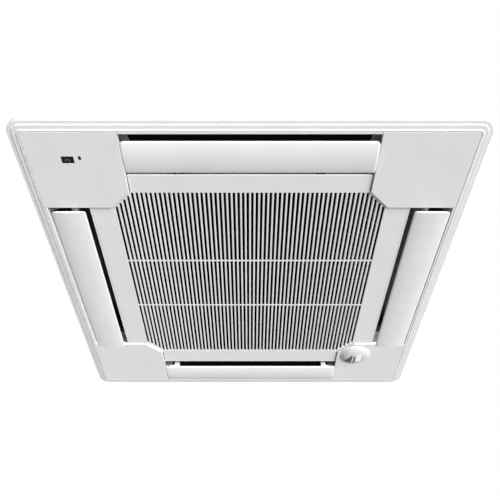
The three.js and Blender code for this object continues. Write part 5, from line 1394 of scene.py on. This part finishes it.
@dataclass
class IntakeGrille:
    """The hinged grille with its slats, and the filter and catches behind it.

    Its front edge stops short of the pocket's wall and leaves a gap for the fingers.
    """

    sizes: PanelSizes = PANEL
    front_reach: float = 345.0
    pitch: float = 10.0
    gap: float = 5.7
    depth: float = 6.0
    plate: float = 2.5
    bar_at: float = 85.6
    bar_width: float = 3.4
    bar_depth: float = 2.3
    upstand_in: float = 1.5
    upstand_height: float = 12.0
    ear_half: float = 4.0
    ear_span: Pair = (8.0, 12.0)
    pin_radius: float = 1.5
    pin_half: float = 8.5
    striker_half: float = 5.0
    striker_y: Pair = (-335.0, -325.0)
    striker_rise: float = 9.0

    def border(self) -> np.ndarray:
        """The flat border between the grille's outline and the slatted octagon."""
        s = self.sizes
        reach = s.grille_reach
        arm = s.grille_arm
        near = s.grille_sum - arm
        quarter = np.array([[reach, arm], [near, arm], [arm, near], [arm, reach]])
        corners = four_quarters(quarter)
        corners[:, 1] = np.maximum(corners[:, 1], -self.front_reach)
        radii = np.tile([2.0, 2.5, 2.5, 2.0], 4)
        hole = cut_square(s.slats_half - 0.8, s.slats_sum - 2.2)
        return ring_between(Outline(corners, radii, 5), hole, s.lip, s.lip + self.plate, 0.7)

    def slat(self, x: float) -> np.ndarray:
        """A slat along Y: its face is rounded, and it tapers by 0.3 mm on each side to its back.

        Args:
            x: The slat's middle.

        Returns:
            Rings at its two ends.
        """
        s = self.sizes
        half = (self.pitch - self.gap) / 2
        edge = min(s.slats_half, s.slats_sum - abs(x)) + 1.2
        corners = np.array(
            [
                [x - half, s.lip + 0.02],
                [x + half, s.lip + 0.02],
                [x + half - 0.3, s.lip + self.depth],
                [x - half + 0.3, s.lip + self.depth],
            ]
        )
        section = Outline(corners, np.array([0.8, 0.8, 0.4, 0.4]), 4).at()
        ends = np.array([-edge, edge])[:, None] + np.zeros(len(section))
        flat = np.broadcast_to(section, (2, *section.shape))
        return np.stack([flat[..., 0], ends, flat[..., 1]], axis=-1)

    def slats(self) -> Skin:
        """All slats, the two cross bars, and the webs that end the gaps square at the cut corners."""
        s = self.sizes
        skin = Skin()
        columns = round(2 * s.slats_half / self.pitch)
        for x in (np.arange(columns + 1) - columns / 2) * self.pitch:
            if abs(x) < s.slats_half - 1:
                skin.add(self.slat(x))
        reach = s.slats_half + 1.0
        half = self.bar_width / 2
        heights = (s.lip + 0.04, s.lip + self.bar_depth)
        for y in (-self.bar_at, self.bar_at):
            skin.add(block((-reach, reach), (y - half, y + half), heights, 0.6))
        for x in (np.arange(columns) - (columns - 1) / 2) * self.pitch:
            end = min(s.slats_half, s.slats_sum - abs(x) - self.gap / 2) - 0.8
            outer = min(s.slats_half, s.slats_sum - abs(x) + self.gap / 2) + 1.0
            if outer - end > 2.5:
                for side in (-1, 1):
                    ends = sorted((side * end, side * outer))
                    half = self.gap / 2 + 0.6
                    skin.add(block((x - half, x + half), ends, (s.lip + 0.06, s.lip + self.depth), 0.5))
        return skin

    def upstand(self) -> np.ndarray:
        """The low wall that the filter sits in."""
        s = self.sizes
        inside = s.grille_sum - self.upstand_in * SQRT2
        outer = Outline(cut_square(s.slats_half + self.upstand_in + 2.0, s.grille_sum), 1.2, 3)
        inner = Outline(cut_square(s.slats_half + self.upstand_in, inside), 1.0, 3)
        bottom = s.lip + self.plate - 0.5
        top = s.lip + self.upstand_height
        rings = [(outer, bottom), (outer, top - 0.3), (inner, top - 0.3), (inner, bottom)]
        return np.stack([np.insert(line.at(), 2, height, axis=1) for line, height in rings])

    def hinge_ears(self, x: float) -> Skin:
        """Two ears with the pin between them, behind the far edge.

        Args:
            x: Their middle.

        Returns:
            The ears and the pin.
        """
        s = self.sizes
        y = s.hinge_y
        z = s.hinge_z
        skin = Skin()
        foot = s.lip + self.plate - 0.5
        ear = Outline(rectangle(y - self.ear_half, y + self.ear_half, foot, z + 3), 2.4, 4)
        for side in (-1, 1):
            ends = sorted(x + side * reach for reach in self.ear_span)
            rings = plate(ear, *ends, 0.4)
            skin.add(rings[..., [2, 0, 1]])
        low, high = x - self.pin_half, x + self.pin_half
        pin = np.array([[0, low], [self.pin_radius, low], [self.pin_radius, high], [0, high]])
        return skin.add(lying(revolved(pin, 24), y, z))

    def build(self) -> None:
        """Makes the grille and dresses the filter and the catches."""
        s = self.sizes
        skin = Skin().add(self.border(), joined=True).merge(self.slats())
        skin.add(self.upstand(), joined=True)
        for x in (-s.hinge_x, s.hinge_x):
            skin.merge(self.hinge_ears(x))
            width = (x - self.striker_half, x + self.striker_half)
            back = s.lip + self.plate
            skin.add(block(width, self.striker_y, (back - 0.5, back + self.striker_rise), 0.8))
        shown("slatted_intake_grille", skin.mesh("grille"), PANEL_PLASTIC, "grille", ("intake_grille",))
        eased_copy("filter_frame", "moulded_filter_frame", DARK_PLASTIC, "grille", 0.6)
        dressed("filter_net", NET)
        for name in ("left", "right"):
            eased_copy("catch_housing_" + name, "catch_case_" + name, DARK_PLASTIC, "unit", 0.5)
            dressed("catch_plunger_" + name, PANEL_PLASTIC)


# ---------------------------------------------------------------- sensor


@dataclass
class RotatingSensor:
    """The round sensor: a base ring and a low turning dome, with a wedge and a slit that it looks out of laid
    on its face in dark grey, partly the eye's own colour and partly painted shade of a recess that isn't cut.
    """

    sizes: PanelSizes = PANEL
    ring_radius: float = 43.0
    ring_height: float = 2.5
    ring_bore: float = 24.0
    sleeve_outer: float = 33.7
    sleeve_inner: float = 31.7
    hub_radius: float = 12.0
    shaft_radius: float = 3.0
    shaft_top: float = 4.4
    head_radius: float = 41.0
    head_low: float = -26.4
    fullness: float = 4.2
    wedge: tuple[Pair, ...] = ((-13.0, -10.0), (-9.5, -10.0), (-11.5, 36.0), (-33.0, 21.0))
    slit: tuple[Pair, ...] = ((-5.5, -5.0), (-1.5, -5.0), (-1.5, 37.0), (-5.5, 37.0))
    line_radii: tuple[float, ...] = (20.5, 30.0, 37.5)
    line_width: float = 1.2
    line_depth: float = 0.9
    lug_x: Pair = (0.6, 15.8)
    lug_y: Pair = (-15.0, 16.0)
    lug_z: Pair = (-27.9, -22.0)
    lug_slope: float = 0.05
    lug_fall: float = 2.6

    @property
    def ring_face(self) -> float:
        """Height of the ring's lower face."""
        return self.sizes.face - 0.3 - self.ring_height

    def ring(self) -> np.ndarray:
        """The base ring with its sleeve, as a turned section."""
        top = self.sizes.face - 0.3
        deck = self.sizes.deck - 0.3
        corners = np.array(
            [
                [self.ring_bore, self.ring_face],
                [self.ring_radius, self.ring_face],
                [self.ring_radius, top],
                [self.sleeve_outer, top],
                [self.sleeve_outer, deck],
                [self.sleeve_inner, deck],
                [self.sleeve_inner, top],
                [self.ring_bore, top],
            ]
        )
        radii = np.array([0.3, 1.4, 0.4, 0.3, 0.3, 0.3, 0.3, 0.3])
        at = self.sizes.sensor_at
        return revolved(Outline(corners, radii, 5).at(), 96, (at, at))

    def face(self, x: np.ndarray, y: np.ndarray) -> np.ndarray:
        """Height of the head's underside at a point measured from the axis.

        At radius r it is the lowest height plus (r / R)^p of the way up to the rim, where R is the
        head's radius and p its fullness. Three fine round lines are shallow troughs.
        """
        r = np.hypot(x, y)
        rim = self.ring_face - 0.3
        plain = self.head_low + (rim - self.head_low) * (r / self.head_radius) ** self.fullness
        lines = sum(np.clip(1 - np.abs(r - line) / self.line_width, 0, 1) for line in self.line_radii)
        return np.minimum(plain + self.line_depth * lines, rim)

    def dome(self) -> np.ndarray:
        """The head: its underside from the middle out to the rim, then over the top to the stem."""
        around = 160
        r = np.linspace(0, self.head_radius, 84)
        angle = np.linspace(0, 2 * math.pi, around, endpoint=False)
        x = np.outer(r, np.cos(angle))
        y = np.outer(r, np.sin(angle))
        ring = np.stack([x, y, self.face(x, y)], axis=-1)
        back_face = self.ring_face - 0.1
        hub_top = self.sizes.deck - 2
        hub, shaft = self.hub_radius, self.shaft_radius
        radii = [self.head_radius, hub, hub, shaft, shaft, 0.0]
        heights = [back_face, back_face, hub_top, hub_top, self.shaft_top, self.shaft_top]
        back = revolved(np.stack([radii, heights], axis=1), around)
        whole = np.concatenate([ring, back])
        whole[..., :2] += self.sizes.sensor_at
        return whole

    def inset(self, corners: np.ndarray) -> np.ndarray:
        """A thin dark patch laid on the head's face between four corners, carrying the eye's colour and
        painted shade of an uncut recess.

        A point at shares (u, v) is the corners' average weighted by (1 - u)(1 - v), u (1 - v), u v
        and (1 - u) v, and its height is the face's less 0.2 mm.

        Args:
            corners: The four corners, measured from the axis.

        Returns:
            Rings across the patch.
        """
        u, v = np.meshgrid(np.linspace(0, 1, 13), np.linspace(0, 1, 25), indexing="ij")
        weights = np.stack([(1 - u) * (1 - v), u * (1 - v), u * v, (1 - u) * v], axis=-1)
        flat = weights @ corners
        low = self.face(flat[..., 0], flat[..., 1]) - 0.2
        lower = np.concatenate([flat, low[..., None]], axis=-1)
        upper = np.concatenate([flat, low[..., None] + 1.2], axis=-1)
        rings = np.concatenate([lower, upper[:, ::-1]], axis=1)
        rings[..., :2] += self.sizes.sensor_at
        return rings

    def lug(self) -> np.ndarray:
        """The raised lug beside the eye, whose face slopes towards the front; its brighter white is a painted
        highlight of its lit face.
        """
        at = self.sizes.sensor_at
        x, y = (tuple(at + value for value in span) for span in (self.lug_x, self.lug_y))
        rings = block(x, y, self.lug_z, 1.2)
        rise = np.clip((y[1] - 1.0 - rings[..., 1]) * self.lug_slope, 0, self.lug_fall)
        rings[..., 2] += rise * (rings[..., 2] < sum(self.lug_z) / 2)
        return rings

    def build(self) -> None:
        """Makes the ring and the head."""
        ring = Skin().add(self.ring(), joined=True)
        shown("sensor_base_ring", ring.mesh("sensor ring"), PANEL_PLASTIC, "unit", ("sensor_ring",))
        head = Skin().add(self.dome())
        shown("turning_sensor_head", head.mesh("sensor head"), HEAD_PLASTIC, "sensor", ("sensor_head",))
        # The lug's brighter white is a painted highlight.
        shown("white_sensor_lug", Skin().add(self.lug()).mesh("sensor lug"), LUG_PAINTED_HIGHLIGHT, "sensor", ())
        # The wedge and the slit are dark patches: the eye's colour with painted shade of a recess.
        eye = Skin().add(self.inset(np.array(self.wedge))).add(self.inset(np.array(self.slit)))
        shown("dark_sensor_eye", eye.mesh("sensor eye"), EYE_AND_PAINTED_RECESS_SHADE, "sensor", ())
        dressed("sensor_motor", SHEET_STEEL)


# ---------------------------------------------------------------- studio


@dataclass(frozen=True)
class Studio:
    """The photograph's view, a white ceiling round the panel, and soft plain light."""

    camera_at: tuple[float, float, float] = (0.0, -1.0071, -0.891)
    camera_pitch: float = 134.91
    focal_pixels: float = 522.3
    picture_pixels: float = 500.0
    sensor_mm: float = 36.0
    ambient: float = 0.25
    key_strength: float = 4.75
    key_from: tuple[float, float, float] = (0.54, -0.74, -0.40)
    key_passes: tuple[str, ...] = tuple("curved_vane_" + side.name.lower() for side in Side)
    top_strength: float = 1.0
    top_from: tuple[float, float, float] = (-0.25, 0.55, 0.8)
    spread: float = 40.0
    ceiling_reach: float = 6.0
    ceiling_hole: float = 0.45
    ceiling_lift: float = 0.0002

    def camera(self) -> None:
        """A camera below and in front of the panel, looking up at it."""
        lens = bpy.data.cameras.new("view")
        lens.sensor_width = self.sensor_mm
        lens.lens = self.focal_pixels / self.picture_pixels * self.sensor_mm
        lens.clip_start = 0.01
        camera = bpy.data.objects.new("view", lens)
        camera.location = self.camera_at
        camera.rotation_euler = (math.radians(self.camera_pitch), 0, 0)
        bpy.context.scene.collection.objects.link(camera)
        bpy.context.scene.camera = camera

    def sun(self, name: str, direction: tuple[float, float, float], strength: float) -> bpy.types.Object:
        """A broad distant lamp.

        Args:
            name: The lamp's name.
            direction: Where the light comes from.
            strength: Its strength, in watts per square metre.

        Returns:
            The lamp's object.
        """
        lamp = bpy.data.lights.new(name, "SUN")
        lamp.energy = strength
        lamp.angle = math.radians(self.spread)
        holder = bpy.data.objects.new(name, lamp)
        x, y, z = direction
        tilt = math.acos(z / math.sqrt(x * x + y * y + z * z))
        holder.rotation_euler = (tilt, 0, math.atan2(y, x) + math.pi / 2)
        bpy.context.scene.collection.objects.link(holder)
        return holder

    def let_through(self, lamp: bpy.types.Object, pieces: tuple[str, ...]) -> None:
        """Keeps pieces from casting shadows in one lamp's light, as a broad soft box would."""
        blockers = bpy.data.collections.new(lamp.name + " passes")
        lamp.light_linking.blocker_collection = blockers
        for index, name in enumerate(pieces):
            blockers.objects.link(bpy.data.objects[name])
            blockers.collection_objects[index].light_linking.link_state = "EXCLUDE"

    def world(self) -> None:
        """A white background for the camera, mirrors and glass, and an even dim glow for the rest."""
        world = bpy.data.worlds.new("white room")
        world.use_nodes = True
        tree = world.node_tree
        tree.nodes.clear()
        path = add_node(tree, "ShaderNodeLightPath")
        white = path.outputs["Is Camera Ray"]
        for kind in ("Glossy", "Transmission"):
            ray = path.outputs[f"Is {kind} Ray"]
            white = add_node(tree, "ShaderNodeMath", {"operation": "MAXIMUM"}, i0=white, i1=ray).outputs[0]
        strength = add_node(tree, "ShaderNodeMapRange", Value=white, To_Min=self.ambient)
        glow = add_node(
            tree, "ShaderNodeBackground", Color=(1, 1, 1, 1), Strength=strength.outputs[0]
        )
        add_node(tree, "ShaderNodeOutputWorld", Surface=glow.outputs[0])
        bpy.context.scene.world = world

    def ceiling(self) -> None:
        """The ceiling that the panel hangs in: white from below, nothing from above.

        It has a square hole under the panel, and lights, shades and mirrors nothing.
        """
        outer = np.array([[-1, -1], [1, -1], [1, 1], [-1, 1]], float)
        height = np.full((4, 1), self.ceiling_lift)
        squares = (outer * self.ceiling_reach, outer * self.ceiling_hole)
        points = np.vstack([np.hstack([square, height]) for square in squares])
        index = np.arange(4)
        following = np.roll(index, -1)
        faces = np.stack([index, index + 4, following + 4, following], axis=1)
        mesh = bpy.data.meshes.new("ceiling")
        mesh.from_pydata(points, [], faces.tolist())
        material = bpy.data.materials.new("white ceiling")
        material.use_nodes = True
        tree = material.node_tree
        tree.nodes.clear()
        above = add_node(tree, "ShaderNodeNewGeometry").outputs["Backfacing"]
        glow = add_node(tree, "ShaderNodeEmission", Color=(1, 1, 1, 1), Strength=1.0)
        clear = add_node(tree, "ShaderNodeBsdfTransparent")
        mix = add_node(tree, "ShaderNodeMixShader", i0=above, i1=glow.outputs[0], i2=clear.outputs[0])
        add_node(tree, "ShaderNodeOutputMaterial", Surface=mix.outputs[0])
        mesh.materials.append(material)
        ceiling = bpy.data.objects.new("ceiling", mesh)
        ceiling.visible_diffuse = False
        ceiling.visible_glossy = False
        ceiling.visible_transmission = False
        ceiling.visible_shadow = False
        bpy.context.scene.collection.objects.link(ceiling)

    def build(self) -> None:
        """Sets up the view, the room and the lamps."""
        bpy.context.scene.view_settings.view_transform = "Standard"
        self.camera()
        self.world()
        self.ceiling()
        key = self.sun("key", self.key_from, self.key_strength)
        self.let_through(key, self.key_passes)
        self.sun("top", self.top_from, self.top_strength)


# ---------------------------------------------------------------- cabinet and works


@dataclass
class Works:
    """The cabinet above the ceiling and what works inside it."""

    sizes: UnitSizes = UNIT
    fold: float = 16.0
    bead_width: float = 9.0
    bead_heights: tuple[float, ...] = (66.0, 108.0)

    def stud(self, x: float, z: float) -> np.ndarray:
        """A screw's domed head on the cabinet's front: a quarter circle turned about -Y."""
        angle = np.linspace(0, math.pi / 2, 5)
        profile = np.stack([4.0 * np.sin(angle), 1.0 + 2.0 * np.cos(angle)], axis=1)
        rings = revolved(np.vstack([profile, [[4.0, -0.2], [0.0, -0.2]]]), 20)
        across, up, out = np.moveaxis(rings, -1, 0)
        return np.stack([across + x, -self.sizes.half - out, up + z], axis=-1)

    def trim(self) -> Skin:
        """The top's folded rim with its screws, and two pressed beads, on the cabinet's front."""
        s = self.sizes
        run = s.sum - s.half - 1.0
        heights = (s.top - self.fold, s.top - 0.1)
        skin = Skin().add(block((-run, run), (-s.half - 0.9, -s.half + 0.2), heights, 0.4))
        for z in self.bead_heights:
            ends = (-run + 25.0, run - 25.0)
            skin.add(block(ends, (-s.half - 1.8, -s.half + 0.6), (z, z + self.bead_width), 1.1))
        for x in (20.0 - run, -100.0, 100.0, run - 20.0):
            skin.add(self.stud(x, s.top - self.fold / 2))
        return skin

    def build(self) -> None:
        """Rounds the edges of the works' solids and dresses those that stay as they are."""
        trim = Skin().on_four_sides(self.trim())
        shown("pressed_cabinet_trim", trim.mesh("cabinet trim"), SHEET_STEEL, "unit", ())
        eased = (
            ("cabinet_shell", "folded_cabinet_shell", SHEET_STEEL, "unit", 0.4),
            ("top_plate", "folded_top_plate", SHEET_STEEL, "unit", 0.4),
            ("control_box_cover", "folded_box_cover", SHEET_STEEL, "unit", 0.4),
            ("drain_pan", "foam_drain_pan", PAN_FOAM, "unit", 1.2),
            ("gas_pipe", "bent_gas_pipe", COPPER, "unit", 0.3),
            ("liquid_pipe", "bent_liquid_pipe", COPPER, "unit", 0.3),
            ("gas_flare_nut", "brass_gas_nut", BRASS, "unit", 0.6),
            ("liquid_flare_nut", "brass_liquid_nut", BRASS, "unit", 0.6),
            ("fan_nut", "brass_fan_nut", BRASS, "fan", 0.5),
            ("bell_mouth", "moulded_bell_mouth", PANEL_PLASTIC, "unit", 0.4),
            ("fan", "moulded_turbo_fan", FAN_PLASTIC, "fan", 0.4),
            ("fan_motor", "enamelled_fan_motor", MOTOR_PAINT, "unit", 0.8),
            ("control_box", "moulded_control_box", GREY_PLASTIC, "unit", 0.6),
            ("drain_pump", "moulded_drain_pump", GREY_PLASTIC, "unit", 0.8),
            ("pump_float", "moulded_pump_float", PANEL_PLASTIC, "float", 0.4),
            ("drain_pipe", "extruded_drain_pipe", GREY_PLASTIC, "unit", 0.3),
        )
        for node, name, finish, body, width in eased:
            eased_copy(node, name, finish, body, width)
        dressed("cabinet_liner", LINER_FOAM)
        dressed("heat_exchanger", FIN_STACK)
        dressed("circuit_board", BOARD)
        for corner in Corner:
            name = corner.name.lower()
            eased_copy("hanger_bracket_" + name, "pressed_hanger_bracket_" + name, SHEET_STEEL, "unit", 0.8)
            dressed("panel_screw_" + name, SHEET_STEEL)


def main() -> None:
    """Builds the scene in order."""
    logging.basicConfig(level=logging.INFO, format="%(message)s")
    PanelFrame().build()
    CornerCovers().build()
    for side in Side:
        Vane(side).build()
    IntakeGrille().build()
    RotatingSensor().build()
    Works().build()
    Studio().build()


if __name__ == "__main__":
    main()
